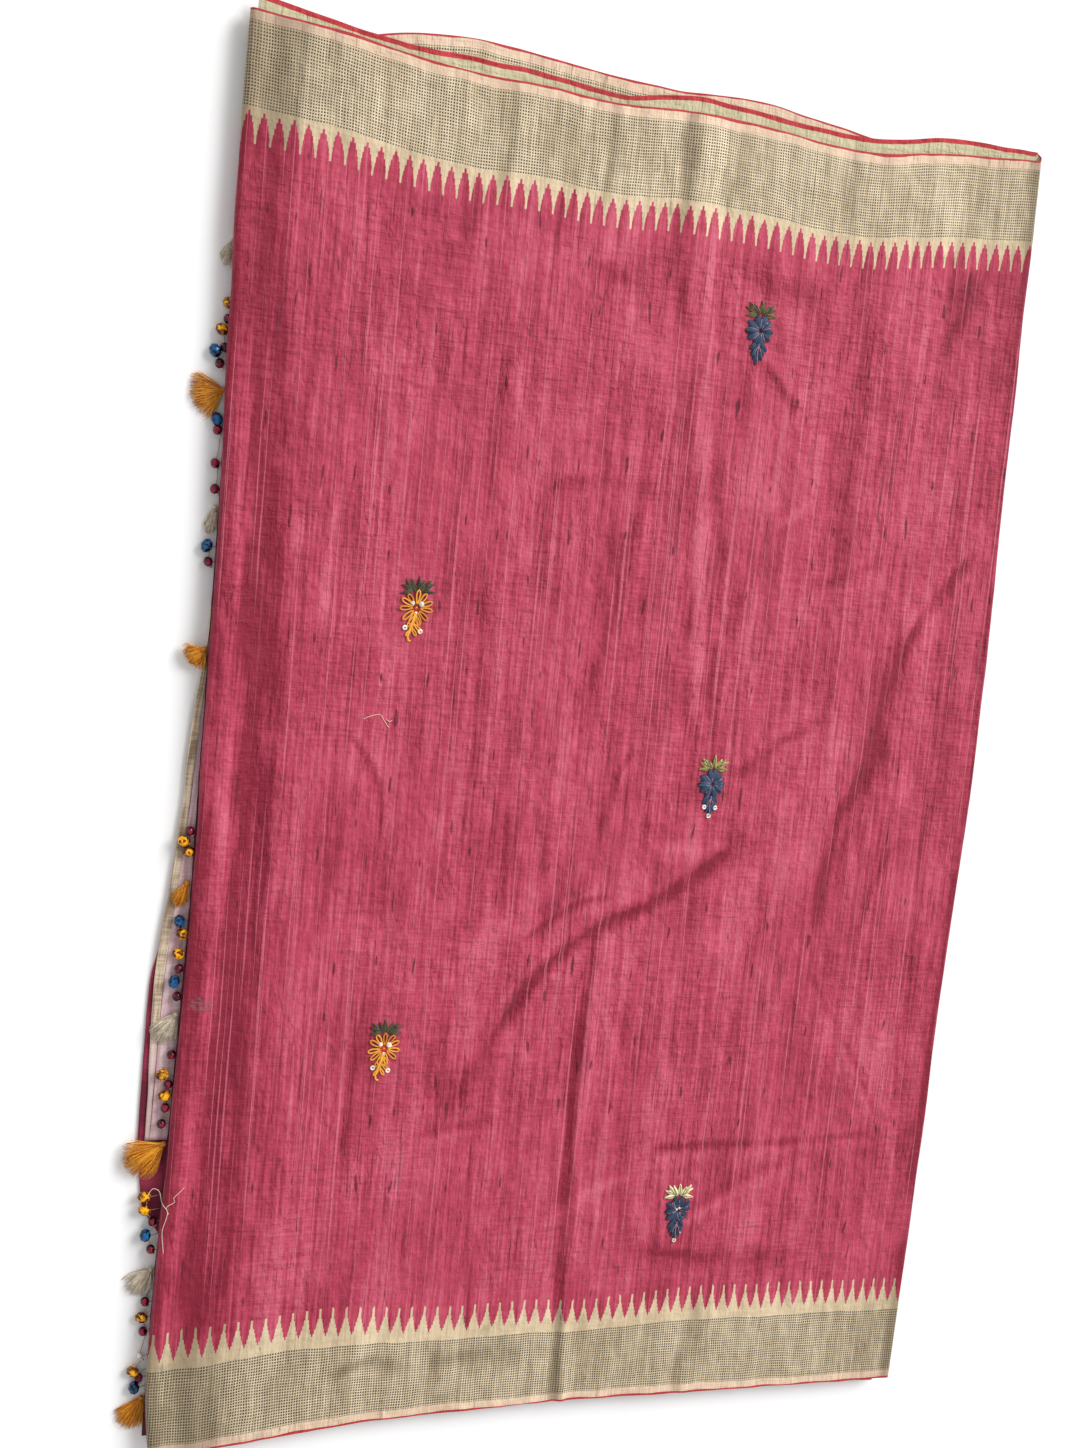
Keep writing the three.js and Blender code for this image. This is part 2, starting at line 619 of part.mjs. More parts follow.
// The outline of a sprig, anticlockwise: up the flower's right petals from the foot, round the
// leafy stem above it, down the left petals and round the tail.
function sprigOutline() {
  const points = [];
  const core = FLOWER_RADIUS * 0.3;
  const petalWidth = (Math.PI * FLOWER_RADIUS) / PETALS;
  const petal = (k) => {
    const angle = -Math.PI / 2 + (2 * Math.PI * (k + 0.5)) / PETALS;
    const [x, y] = [core * Math.cos(angle), core * Math.sin(angle)];
    points.push(...lobe(x, y, angle, FLOWER_RADIUS - core, petalWidth));
  };
  const stemLobe = (x, { y, length, width }, angle) => points.push(...lobe(x, y, angle, length, width));
  const right = (row) => stemLobe(STEM_HALF_WIDTH, row, row.lean);
  const left = (row) => stemLobe(-STEM_HALF_WIDTH, row, Math.PI - row.lean);
  const end = (row) => stemLobe(0, row, row.lean);
  for (let k = 0; k < PETALS / 2; k += 1) {
    petal(k);
  }
  LEAVES.forEach(right);
  end(TOP_LEAF);
  LEAVES.toReversed().forEach(left);
  for (let k = PETALS / 2; k < PETALS; k += 1) {
    petal(k);
  }
  left(TAIL_SPIKE);
  end(TAIL_END);
  right(TAIL_SPIKE);
  return points;
}

// A sprig worked on the front: its outline laid on the cloth's own points and moved out.
function sprig(row, number, front) {
  const ray = new THREE.Raycaster();
  const down = new THREE.Vector3(0, 0, -1);
  const outline = sprigOutline().map(([dx, dy]) => {
    const [x, y] = [row.x + dx, row.y + dy];
    ray.set(new THREE.Vector3(x, y, 100), down);
    return new THREE.Vector3(x, y, ray.intersectObject(front)[0].point.z + GAP);
  });
  const raised = outline.map((p) => p.clone().setZ(p.z + SPRIG_THICKNESS));
  return meshOf(`sprig_${number}`, loft([outline, raised], "x", "y"), row.colour, 0.75);
}

// ---------------------------------------------------------------- the sari

const sari = new THREE.Group();
const front = frontPanel();
sari.add(coreLayers(), front, ...layerBands(), ...innerEdges(), palluEdge());
sari.add(...TASSELS.map((row, k) => tassel(row, k + 1)));
sari.add(...BEAD_STRINGS.map((row, k) => beadString(row, k + 1)));
sari.add(...SPRIGS.map((row, k) => sprig(row, k + 1, front)));

export default sari;
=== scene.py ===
import math
from functools import cached_property
from itertools import product

import bpy
import numpy as np
from mathutils import Matrix
from mathutils.bvhtree import BVHTree


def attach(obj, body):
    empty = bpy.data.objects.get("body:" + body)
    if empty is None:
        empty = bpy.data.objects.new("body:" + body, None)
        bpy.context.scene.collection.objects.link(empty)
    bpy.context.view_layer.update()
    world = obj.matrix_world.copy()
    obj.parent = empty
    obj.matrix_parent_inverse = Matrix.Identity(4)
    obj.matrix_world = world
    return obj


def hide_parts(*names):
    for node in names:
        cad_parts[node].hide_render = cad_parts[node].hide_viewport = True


# The looks of a sari folded in eight and laid flat. X runs from fold to fold, Y from the lower
# selvedge to the upper one and Z up from the floor. Sizes here are in millimetres, as in the
# part's source, and become metres where a mesh is made.
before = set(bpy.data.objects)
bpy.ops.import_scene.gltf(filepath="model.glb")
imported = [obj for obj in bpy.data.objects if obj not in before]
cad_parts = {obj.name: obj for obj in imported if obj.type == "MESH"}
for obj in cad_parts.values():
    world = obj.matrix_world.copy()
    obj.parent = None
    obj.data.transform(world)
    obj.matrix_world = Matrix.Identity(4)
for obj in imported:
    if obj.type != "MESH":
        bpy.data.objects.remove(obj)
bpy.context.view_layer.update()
MM = 0.001

# ---------------------------------------------------------------- camera

LENS = 44.76
CAMERA_PLACE = (-610.54, 226.59, 1368.11)
CAMERA_RIGHT = (0.92807, 0.09475, 0.36014)
CAMERA_UP = (-0.04284, 0.98783, -0.14949)
CAMERA_BACK = (-0.36992, 0.12331, 0.92084)


def make_camera():
    camera = bpy.data.objects.new("camera", bpy.data.cameras.new("camera"))
    bpy.context.scene.collection.objects.link(camera)
    columns = zip(CAMERA_RIGHT, CAMERA_UP, CAMERA_BACK, [v * MM for v in CAMERA_PLACE])
    camera.matrix_world = Matrix([*columns, (0, 0, 0, 1)])
    camera.data.lens = LENS
    camera.data.sensor_width = 36
    camera.data.clip_start = 0.01
    camera.data.clip_end = 50
    bpy.context.scene.camera = camera


# ---------------------------------------------------------------- the part's own sizes


def named_rows(columns, *rows):
    """Rows of values, each under its column's name."""
    return [dict(zip(columns.split(), row)) for row in rows]


WALL = 1.4
GAP = 0.3
HIDDEN_LAYERS = 5
RIM_HEIGHT = 9.4
THIRD_MID = RIM_HEIGHT + GAP + WALL / 2
SECOND_MID = THIRD_MID + WALL + GAP
HIGH_RIM = SECOND_MID - WALL / 2 - GAP
CORE_HEIGHT = SECOND_MID + WALL / 2
FRONT_MID = CORE_HEIGHT + GAP + WALL / 2
ABOVE_ALL = 100.0
BASE_RELIEF = 2.7
FOLD_PUFF = 0.6
PUFF_REACH = 16
RIGHT_RETURN = 12
LEFT_RETURN = 9
BAND_DEPTH = 48
PALLU_NOTCH = 10

SELVEDGES = named_rows(
    "x front second third lower",
    (-346, 558, 571, 545, -560), (-290, 555, 562, 548, -558), (-230, 547, 555, 562, -553),
    (-170, 542, 554, 568, -549), (-110, 542, 552, 564, -548), (-50, 539, 547, 560, -548),
    (10, 543, 556, 559, -548), (70, 543, 554, 562, -550), (130, 538, 550, 556, -552),
    (190, 538, 551, 549, -554), (250, 548, 561, 545, -556), (345, 556, 564, 545, -559),
)
FOLD_LINES = named_rows(
    "y left right",
    (-560, -346, 344), (-500, -352, 345), (-440, -351, 346), (-330, -348, 348), (-220, -345, 349),
    (-110, -343, 352), (0, -343, 354), (110, -343, 353), (220, -344, 351), (330, -346, 349),
    (440, -348, 347), (570, -346, 345),
)
DEEP_FOLD_TOP = 2.6
PALE_TOP = DEEP_FOLD_TOP + GAP + 1.2
HEM_TOP = DEEP_FOLD_TOP + GAP + 2
DEEP_FOLD_EDGE = named_rows(
    "y outer",
    (-395, -357), (-345, -364), (-300, -369), (-212, -369), (-167, -368), (-130, -360), (-20, -349),
    (110, -341),
)
GOLDEN_HEM_EDGES = named_rows(
    "y outer inner",
    (-300, -364, -361), (-218, -365, -359.5), (-166, -365, -358), (-76, -357, -351),
    (-20, -353, -347.5), (43, -350, -344), (75, -346, -342), (127, -342, -339.5),
)
PALLU_EDGE = named_rows(
    "y beads z",
    (-548, -354, 3.9), (-411, -353.2, 3.9), (-396, -353, 6.5), (-322, -352, 6.5), (-294, -351, 8.4),
    (-224, -349.5, 8.4), (-110, -347.2, 8.4), (135, -347, 8.4), (165, -346, 3.9), (300, -346, 3.9),
    (404, -344, 3.9),
)
TASSELS = named_rows(
    "colour y tip fan lies",
    ("grey", 398, (-350, 377), 12, 0),
    ("mustard", 285, (-367, 277), 34, 0),
    ("grey", 197, (-348, 178), 10, 0),
    ("mustard", 90, (-357, 80), 24, HEM_TOP),
    ("mustard", -92, (-353, -110), 12, HEM_TOP),
    ("grey", -197, (-360, -218), 22, HEM_TOP),
    ("mustard", -302, (-376, -321), 34, HEM_TOP),
    ("grey", -408, (-366, -426), 24, 0),
    ("mustard", -516, (-364, -539), 26, 0),
)
MAROON_RADIUS = 3.6
HEAD_RADIUS = 2.3
CLOTH_TO_BEADS = MAROON_RADIUS + GAP

# ---------------------------------------------------------------- numbers over the cloth

SHELL = 0.6  # the cloth as it is drawn, on the outer side of the part's wall
CLOTH_APART = 400  # along the cloth, so that other layers don't repeat the front's pattern
FAR_IN = 200.0  # in from the selvedge, for cloth that has none near
OUTWARD = (WALL - SHELL) / 2
UNDER = 0.8  # how far the front may sink into the air under it


def lerp(a, b, share):
    return a + (b - a) * share


def smoothstep(value, low, high):
    share = np.clip((value - low) / (high - low), 0, 1)
    return share * share * (3 - 2 * share)


def read_table(table, key, column, at):
    """A column of a table at any keys, along a smooth curve through its rows."""
    keys = np.array([row[key] for row in table], float)
    values = np.array([row[column] for row in table], float)
    last = len(keys) - 1
    inside = np.clip(at, keys[0], keys[-1])
    i = np.clip(np.searchsorted(keys, inside) - 1, 0, last - 1)

    def slope(a, b):
        return (values[b] - values[a]) / (keys[b] - keys[a])

    span = keys[i + 1] - keys[i]
    t = (inside - keys[i]) / span
    start_slope = slope(np.maximum(i - 1, 0), i + 1) * span
    end_slope = slope(i, np.minimum(i + 2, last)) * span
    start = values[i] * (2 * t**3 - 3 * t**2 + 1) + start_slope * (t**3 - 2 * t**2 + t)
    return start + values[i + 1] * (3 * t**2 - 2 * t**3) + end_slope * (t**3 - t**2)


def selvedge(name, x):
    return read_table(SELVEDGES, "x", name, x)


def fold_line(side, y):
    return read_table(FOLD_LINES, "y", side, y)


def wander(x, y, step_x, step_y, seed):
    """Smooth uneven numbers from -1 to 1 over the plane, with a new one every step."""
    knots = np.random.default_rng(seed).uniform(-1, 1, (97, 97))
    across, along = np.broadcast_arrays(x / step_x + 970.0, y / step_y + 970.0)
    i, j = np.floor(across).astype(int), np.floor(along).astype(int)
    s, t = smoothstep(across - i, 0, 1), smoothstep(along - j, 0, 1)
    at = [knots[(i + a) % 97, (j + b) % 97] for a in (0, 1) for b in (0, 1)]
    return lerp(lerp(at[0], at[1], t), lerp(at[2], at[3], t), s)


def waver(at, step, seed):
    """wander along a line."""
    return wander(at, 0 * at, step, 1, seed)


# The creases of the front. A roll stands up by its height on the left of the path and as far
# down on its right, and a bell by its height along the path. dark is painted shade: how much darker,
# or if below 0 lighter with painted light, the cloth is painted along it, with the opposite painted
# tone beside it on the side that stands up. Each fades in over the first of its ends' lengths and
# out over the second.
CREASES = named_rows(
    "dark roll bell width ends path",
    # the broad ones, which the part's solids have too
    (0, -0.7, -2.2, 15, (45, 45), [(-318, -500), (-312, -306), (-297, -104), (-302, 131), (-300, 360)]),
    (0, 0, 1.5, 9, (45, 45), [(-334, -340), (-327, -168), (-327, 14), (-330, 200)]),
    (-0.15, 0, 1.6, 20, (45, 45), [(-267, -480), (-262, -380), (-264, -23), (-263, 164), (-275, 480)]),
    (0.85, 1.3, 0, 8, (0, 60), [(13, 590), (15, 538), (16, 491), (18, 448), (26, 360)]),
    (-0.5, 0.4, 1.3, 10, (30, 60), [(34, 560), (35, 450), (44, 376), (48, 279), (60, 156), (69, 29)]),
    (0.25, 0, -1.0, 12, (45, 45), [(4, 330), (22, 240), (30, 130), (36, 60)]),
    (0.75, -1.5, 0, 10, (30, 60),
     [(331, 228), (278, 162), (247, 89), (235, 26), (212, -28), (201, -150)]),
    (0.55, -0.5, 0, 16, (30, 30), [(250, 60), (232, 0), (214, -60), (200, -130)]),
    (0.9, 1.5, 0, 8.5, (60, 16), [(-104, -252), (-57, -170), (-7, -127), (46, -101), (116, -48)]),
    (0.4, 0.5, 0, 13, (40, 20), [(-128, -296), (-86, -216), (-50, -160)]),
    (0.5, 0.3, 0, 13, (20, 10), [(84, -82), (116, -50), (124, -30)]),
    (0.85, 1.3, 0, 6.5, (14, 0), [(2, -126), (-5, -232), (-5, -320), (1, -437), (6, -590)]),
    (-0.5, 0, 1.3, 10, (60, 30), [(26, -440), (24, -277), (22, -160)]),
    (-0.4, 0.3, 0.5, 8, (14, 14), [(38, -60), (74, -58), (100, -66)]),
    (-0.35, 0.2, 0.6, 14, (20, 20), [(-120, -160), (-84, -122), (-40, -84)]),
    # the finer ones
    (0.55, 0.9, 0, 7, (14, 30), [(108, 13), (152, 50), (198, 78)]),
    (0.5, -0.5, 0, 4.5, (14, 14), [(-4, -45), (6, 10), (22, 32)]),
    (1.0, 0.7, 0, 6, (10, 14), [(96, 372), (119, 352), (138, 332)]),
    (-0.5, 0.3, 0.7, 7, (20, 20), [(160, 330), (158, 300), (156, 264), (118, 230)]),
    (0.85, -0.8, 0, 5.5, (16, 16), [(68, -330), (120, -328), (178, -327)]),
    (0.4, -0.6, 0, 5, (14, 20), [(170, -327), (231, -326), (297, -322)]),
    (0.4, -0.5, 0, 5, (20, 24), [(-152, -308), (-106, -304), (-56, -299)]),
    (0.6, 0.5, 0, 3.6, (12, 24), [(-230, 36), (-209, 10), (-198, -21), (-197, -60)]),
    (0.6, -0.5, 0, 3.6, (16, 16), [(205, -165), (249, -229), (292, -300)]),
    (0.45, 0.5, 0, 5, (14, 14), [(-72, -138), (-27, -106), (12, -96)]),
    (0.3, 0.3, 0, 5, (12, 12), [(-66, -120), (-36, -96), (-6, -84)]),
    (0.55, -0.5, 0, 9, (30, 30), [(50, -424), (143, -437), (235, -437)]),
    (-0.4, 0.3, 0.5, 9, (30, 30), [(95, -412), (160, -372), (235, -345)]),
    (-0.35, 0.3, 0.4, 8, (20, 30), [(-30, -405), (14, -372), (60, -352)]),
    (0.35, 0.3, 0, 8, (30, 30), [(110, -395), (165, -355), (210, -338)]),
    (0.35, -0.3, 0, 3.6, (16, 12), [(40, -232), (49, -278), (58, -326)]),
    (0.7, -0.6, 0, 11, (16, 30), [(286, 470), (277, 421), (262, 380)]),
    (0.5, -0.5, 0, 9, (20, 20), [(-122, -520), (-77, -514), (-24, -523)]),
    (0.45, -0.5, 0, 8, (0, 20), [(118, -590), (129, -520), (140, -465)]),
    (0.4, 0.4, 0, 7, (20, 20), [(-208, -514), (-170, -504), (-130, -516)]),
    (0.3, 0.3, 0, 5, (20, 30), [(262, 150), (250, 110), (256, 60), (262, 10)]),
    (0.3, 0.3, 0, 5, (20, 20), [(285, -40), (262, -90), (255, -140)]),
    (0.25, -0.3, 0, 5, (30, 30), [(-30, 220), (-14, 150), (-20, 70)]),
    (0.25, 0.3, 0, 6, (0, 30), [(-140, 590), (-136, 515), (-150, 455)]),
    (0.5, 0.2, 0, 11, (14, 14), [(-60, 440), (-40, 428), (-16, 432)]),
    (0.55, -0.2, 0, 10, (16, 16), [(70, 440), (110, 432), (150, 436)]),
    (0.4, 0.3, 0, 7, (16, 24), [(38, 320), (44, 260), (34, 200)]),
    (0.35, -0.3, 0, 6, (16, 24), [(-8, 330), (-2, 250), (-14, 190)]),
    (0.4, 0.3, 0, 6, (16, 24), [(-24, 180), (-20, 120), (-32, 70)]),
    (-0.35, 0.3, 0.5, 18, (14, 14), [(60, -10), (78, -50), (60, -84)]),
    (-0.3, 0.3, 0.5, 22, (20, 20), [(170, 10), (160, -40), (150, -90)]),
    (-0.3, 0.3, 0.5, 20, (20, 20), [(-70, 330), (-62, 290), (-74, 250)]),
    (0.3, -0.4, 0, 6, (0, 25), [(-60, 590), (-58, 520), (-66, 465)]),
    (0.25, 0.3, 0, 8, (0, 40), [(160, 590), (166, 510), (158, 440)]),
    (-0.2, 0.2, 0.6, 12, (0, 40), [(262, 590), (258, 500), (250, 440)]),
    (0.3, 0.3, 0, 7, (45, 45), [(-215, -380), (-205, -240), (-196, -150)]),
    (0.12, -0.3, 0, 8, (45, 45), [(-126, -60), (-118, 80), (-128, 240), (-118, 380)]),
    (-0.2, 0, 0.7, 16, (45, 45), [(-170, -500), (-150, -300), (-165, -100), (-150, 90)]),
    (-0.2, 0, 0.8, 20, (45, 45), [(120, 120), (110, 200), (118, 290)]),
    (0.25, 0.2, -0.5, 14, (45, 45), [(180, 120), (190, 230), (182, 350)]),
    (-0.2, 0.2, 0.6, 16, (45, 45), [(170, -230), (175, -350), (160, -460)]),
    (0.3, 0.3, -0.4, 9, (45, 45), [(306, -210), (309, -60), (303, 90)]),
    (0.25, 0.4, 0, 8, (30, 30), [(-92, 250), (-30, 262), (30, 246)]),
    (0.2, 0.4, 0, 8, (20, 20), [(150, 190), (200, 200), (240, 222)]),
)
ROLL_PEAK = 2.33  # makes a roll as high as its height says
BESIDE = 1.9  # of a crease's width, from its path to the other tone's middle
# how strong the painted tone beside a crease is: painted light beside painted shade, and the other way
# round
PAINTED_TONE_BESIDE = 0.45
# Painted shade along the folds: how much darker the cloth is painted at each distance from them.
LEFT_FOLD_SHADE = [
    (0, 1.3), (3, 1.3), (6, 1.1), (9, 0.75), (12, 0.35), (15, 0.5), (20, 0.6), (24, 0.75),
    (29, 1.1), (34, 1.25), (38, 0.95), (42, 0.75), (46, 0.7), (50, 0.85), (54, 0.85), (58, 0.4),
    (63, 0.25), (70, 0.1), (76, 0.2), (95, 0.05), (130, 0.0),
]
RIGHT_FOLD_SHADE = [
    (0, 1.2), (5, 1.3), (9, 0.65), (14, 0.2), (24, 0.15), (36, 0.25), (60, 0.05),
]


def smooth_path(points, step=8):
    """A smooth curve through points, as points about a step apart, with their lengths so far."""
    lengths = np.concatenate([[0], np.cumsum(np.hypot(*np.diff(np.array(points, float), axis=0).T))])
    table = [{"at": at, "x": x, "y": y} for at, (x, y) in zip(lengths, points)]
    at = np.linspace(0, lengths[-1], max(2, round(lengths[-1] / step)))
    return at, read_table(table, "at", "x", at), read_table(table, "at", "y", at)


def crease_form(x, y, row):
    """How much one crease raises each point of the front, and the painted shade and light it puts
    there.
    """
    at, path_x, path_y = smooth_path(row["path"])
    reach = 4 * row["width"]
    near = (x > path_x.min() - reach) & (x < path_x.max() + reach)
    near &= (y > path_y.min() - reach) & (y < path_y.max() + reach)
    px, py = x[near], y[near]
    nearest = np.full(px.shape, np.inf)
    side = np.zeros(px.shape)
    along = np.zeros(px.shape)
    for k in range(len(at) - 1):
        dx, dy = path_x[k + 1] - path_x[k], path_y[k + 1] - path_y[k]
        t = np.clip(((px - path_x[k]) * dx + (py - path_y[k]) * dy) / (dx * dx + dy * dy), 0, 1)
        off_x, off_y = px - path_x[k] - t * dx, py - path_y[k] - t * dy
        distance = np.hypot(off_x, off_y)
        closer = distance < nearest
        nearest = np.where(closer, distance, nearest)
        side = np.where(closer, np.sign(dx * off_y - dy * off_x), side)
        along = np.where(closer, at[k] + t * (at[k + 1] - at[k]), along)
    start, end = row["ends"]
    strength = smoothstep(along, 0, start) if start else 1
    strength = strength * (smoothstep(at[-1] - along, 0, end) if end else 1)
    seed = len(at) + int(abs(path_x[0]))
    strength = strength * (0.9 + 0.4 * waver(along, 38, seed))
    width = row["width"] * (1 + 0.3 * waver(along, 30, seed + 1))
    offset = side * nearest / width
    fall = np.exp(-(offset**2))
    beside = np.exp(-((offset - BESIDE * np.sign(row["roll"])) ** 2))
    height, dark = np.zeros(x.shape), np.zeros(x.shape)
    height[near] = strength * fall * (row["bell"] + row["roll"] * ROLL_PEAK * offset)
    # painted shade along the crease, and the opposite painted tone beside it on its high side
    dark[near] = strength * row["dark"] * (fall - PAINTED_TONE_BESIDE * beside)
    return height, dark


def relief(x, y):
    """How far the front stands above the layer under it, and how much painted shade darkens it."""
    height = np.full(x.shape, float(BASE_RELIEF))
    dark = np.zeros(x.shape)
    for row in CREASES:
        raised, darker = crease_form(x, y, row)
        height += raised
        dark += darker
    from_left = np.maximum(x - fold_line("left", y), 0)
    from_right = np.maximum(fold_line("right", y) - x, 0)
    height += FOLD_PUFF * np.exp(-((np.minimum(from_left, from_right) / PUFF_REACH) ** 2))
    height += 0.6 * wander(x, y, 36, 110, 1) + 0.4 * wander(x, y, 16, 40, 2)
    height += 0.2 * wander(x, y, 8, 17, 3) + 0.12 * wander(x, y, 13, 6, 4)
    # painted shade in bands along the left fold, drawn in towards the top, and along the right one
    drawn_in = lerp(1, 0.74, smoothstep(y, 0, 350))
    uneven = from_left / drawn_in + 3 * waver(y, 60, 5)
    dark += np.interp(uneven, *zip(*LEFT_FOLD_SHADE))
    dark += np.interp(from_right, *zip(*RIGHT_FOLD_SHADE))
    return np.maximum(height, -UNDER), dark


# ---------------------------------------------------------------- meshes

UV_NAME = "OFBake"
OUTER_SHARE = 0.93  # of the bake's map that the outer side fills
INNER_BAND = (0.945, 0.965)
RIM_BAND = (0.975, 0.006)


def finish_piece(ob, materials, slot, nodes=()):
    for material in materials:
        ob.data.materials.append(material)
    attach(ob, "root")
    if nodes:
        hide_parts(*nodes)
    return ob


def new_object(name, points, faces):
    """An object whose four-sided faces are smooth and whose others are flat."""
    mesh = bpy.data.meshes.new(name)
    mesh.from_pydata((np.asarray(points, float) * MM).tolist(), [], faces)
    mesh.polygons.foreach_set("use_smooth", [len(face) == 4 for face in faces])
    ob = bpy.data.objects.new(name, mesh)
    bpy.context.scene.collection.objects.link(ob)
    return ob


def set_values(ob, name, values):
    layer = ob.data.attributes.new(name, "FLOAT", "POINT")
    layer.data.foreach_set("value", values.astype(np.float32))


def set_cloth(ob, cloth):
    """Keeps where each point is on the cloth: along the weft's count, along the weft and in from
    the selvedge, for its material."""
    layer = ob.data.attributes.new("cloth", "FLOAT_VECTOR", "POINT")
    layer.data.foreach_set("vector", np.asarray(cloth, np.float32).ravel())


def grid_quads(columns, rows):
    i, j = np.meshgrid(np.arange(columns - 1), np.arange(rows - 1), indexing="ij")
    a = (i * rows + j).ravel()
    return np.stack([a, a + rows, a + rows + 1, a + 1], 1)


def grid_normals(points):
    """Outward normals of a grid of points, points[column, row, axis]."""
    across, along = np.gradient(points, axis=0), np.gradient(points, axis=1)
    normals = np.cross(across, along)
    return normals / np.linalg.norm(normals, axis=2, keepdims=True)


def shell(name, middle, normals, cloth):
    """A thin closed shell of cloth about a grid of points."""
    columns, rows = middle.shape[:2]
    count = columns * rows
    outer = middle + normals * SHELL / 2
    inner = middle - normals * SHELL / 2
    index = np.arange(count).reshape(columns, rows)
    u, v = np.meshgrid(np.linspace(0, 1, columns), np.linspace(0, 1, rows), indexing="ij")
    plane = np.stack([u, v * OUTER_SHARE], 2).reshape(-1, 2)
    under = np.stack([u, lerp(*INNER_BAND, v)], 2).reshape(-1, 2)
    quads = grid_quads(columns, rows)
    back = quads[:, ::-1] + count
    faces = [quads, back]
    maps = [plane[quads], under[back - count]]
    edges = (index[0][::-1], index[-1], index[:, 0], index[:, -1][::-1])
    for k, line in enumerate(edges):
        a, b = line[:-1], line[1:]
        faces.append(np.stack([b, a, a + count, b + count], 1))
        along = np.linspace(0, 1, len(line))
        high, low = RIM_BAND[0] + k * RIM_BAND[1], RIM_BAND[0] + (k + 0.7) * RIM_BAND[1]
        corners = [(along[1:], high), (along[:-1], high), (along[:-1], low), (along[1:], low)]
        rim = [np.stack([p, np.full(len(p), q)], 1) for p, q in corners]
        maps.append(np.stack(rim, 1))
    points = np.concatenate([outer.reshape(-1, 3), inner.reshape(-1, 3)])
    ob = new_object(name, points, np.concatenate(faces).tolist())
    layer = ob.data.uv_layers.new(name=UV_NAME)
    layer.data.foreach_set("uv", np.concatenate(maps).astype(np.float32).ravel())
    set_cloth(ob, np.concatenate([cloth.reshape(-1, 3)] * 2))
    normals = normals.reshape(-1, 3)
    ob.data.normals_split_custom_set_from_vertices(np.concatenate([normals, -normals]).tolist())
    return ob


class Heap:
    """Small closed forms gathered into one mesh, each with its material and a shade of its own."""

    def __init__(self):
        self.points, self.faces, self.slots, self.shades = [], [], [], []
        self.count = 0

    def add(self, points, faces, slot=0, shade=0.5):
        points = np.asarray(points, float)
        self.faces += [[self.count + i for i in face] for face in faces]
        self.slots += [slot] * len(faces)
        self.points.append(points)
        self.shades.append(np.broadcast_to(shade, len(points)))
        self.count += len(points)

    def tube(self, line, radius, sides=5, slot=0, shade=0.5):
        """A closed tube along a line of points, with one radius or one for each point."""
        line = np.asarray(line, float)
        radius = np.broadcast_to(radius, len(line))
        ahead = np.gradient(line, axis=0)
        ahead /= np.linalg.norm(ahead, axis=1, keepdims=True)
        level = np.cross(ahead, (0.05, 0.03, 1.0))
        level /= np.linalg.norm(level, axis=1, keepdims=True)
        up = np.cross(level, ahead)
        turn = np.arange(sides) * 2 * math.pi / sides
        ring = np.cos(turn)[None, :, None] * level[:, None] + np.sin(turn)[None, :, None] * up[:, None]
        points = line[:, None] + ring * radius[:, None, None]
        n = len(line)
        a = np.arange(n - 1)[:, None] * sides + np.arange(sides)[None]
        b = np.arange(n - 1)[:, None] * sides + (np.arange(sides)[None] + 1) % sides
        quads = np.stack([a, a + sides, b + sides, b], 2).reshape(-1, 4).tolist()
        ends = [list(range(sides)), list(range((n - 1) * sides, n * sides))[::-1]]
        self.add(points.reshape(-1, 3), quads + ends, slot, shade)

    def ball(self, centre, radii, slot=0, shade=0.5, sides=12, rings=8, turn=0.0, rim=0.0):
        """A ball with its own radius along each axis, turned about Z, with painted shade at its rim and
        painted light at its middle, both by rim.
        """
        heights = np.linspace(-math.pi / 2, math.pi / 2, rings + 1)[1:-1]
        angles = np.arange(sides) * 2 * math.pi / sides
        across = np.cos(heights)[:, None] * np.cos(angles)[None]
        along = np.cos(heights)[:, None] * np.sin(angles)[None]
        up = np.broadcast_to(np.sin(heights)[:, None], across.shape)
        body = np.stack([across, along, up], 2).reshape(-1, 3)
        unit = np.concatenate([body, [(0, 0, -1), (0, 0, 1)]])
        # painted shade at the rim and painted light in the middle
        shade = shade + rim * (0.5 - (unit[:, :2] ** 2).sum(1))
        points = unit * np.asarray(radii, float)
        c, s = math.cos(turn), math.sin(turn)
        points = points @ np.array([[c, s, 0], [-s, c, 0], [0, 0, 1]]) + np.asarray(centre, float)
        low, high = len(body), len(body) + 1
        faces = []
        for i in range(sides):
            j = (i + 1) % sides
            faces.append([low, j, i])
            faces.append([high, (rings - 2) * sides + i, (rings - 2) * sides + j])
            for k in range(rings - 2):
                faces.append([k * sides + i, k * sides + j, (k + 1) * sides + j, (k + 1) * sides + i])
        self.add(points, faces, slot, shade)

    def build(self, name, cut=()):
        """The mesh, smooth but for the faces whose slot is cut glass."""
        ob = new_object(name, np.concatenate(self.points), self.faces)
        ob.data.polygons.foreach_set("use_smooth", [slot not in cut for slot in self.slots])
        ob.data.polygons.foreach_set("material_index", self.slots)
        set_values(ob, "shade", np.concatenate(self.shades))
        return ob


# ---------------------------------------------------------------- shaders

SHEEN_ROUGHNESS = 0.4
NOISE_ROUGHNESS = 0.55
SEED_STEP = np.array([17.3, 9.1, 1.0])  # from one seed's part of a noise to the next one's


def srgb(red, green, blue):
    """A colour given as a picture shows it, from 0 to 255, as the shader's own numbers."""
    shown = np.array([red, green, blue]) / 255
    linear = np.where(shown <= 0.04045, shown / 12.92, ((shown + 0.055) / 1.055) ** 2.4)
    return (*linear.tolist(), 1.0)


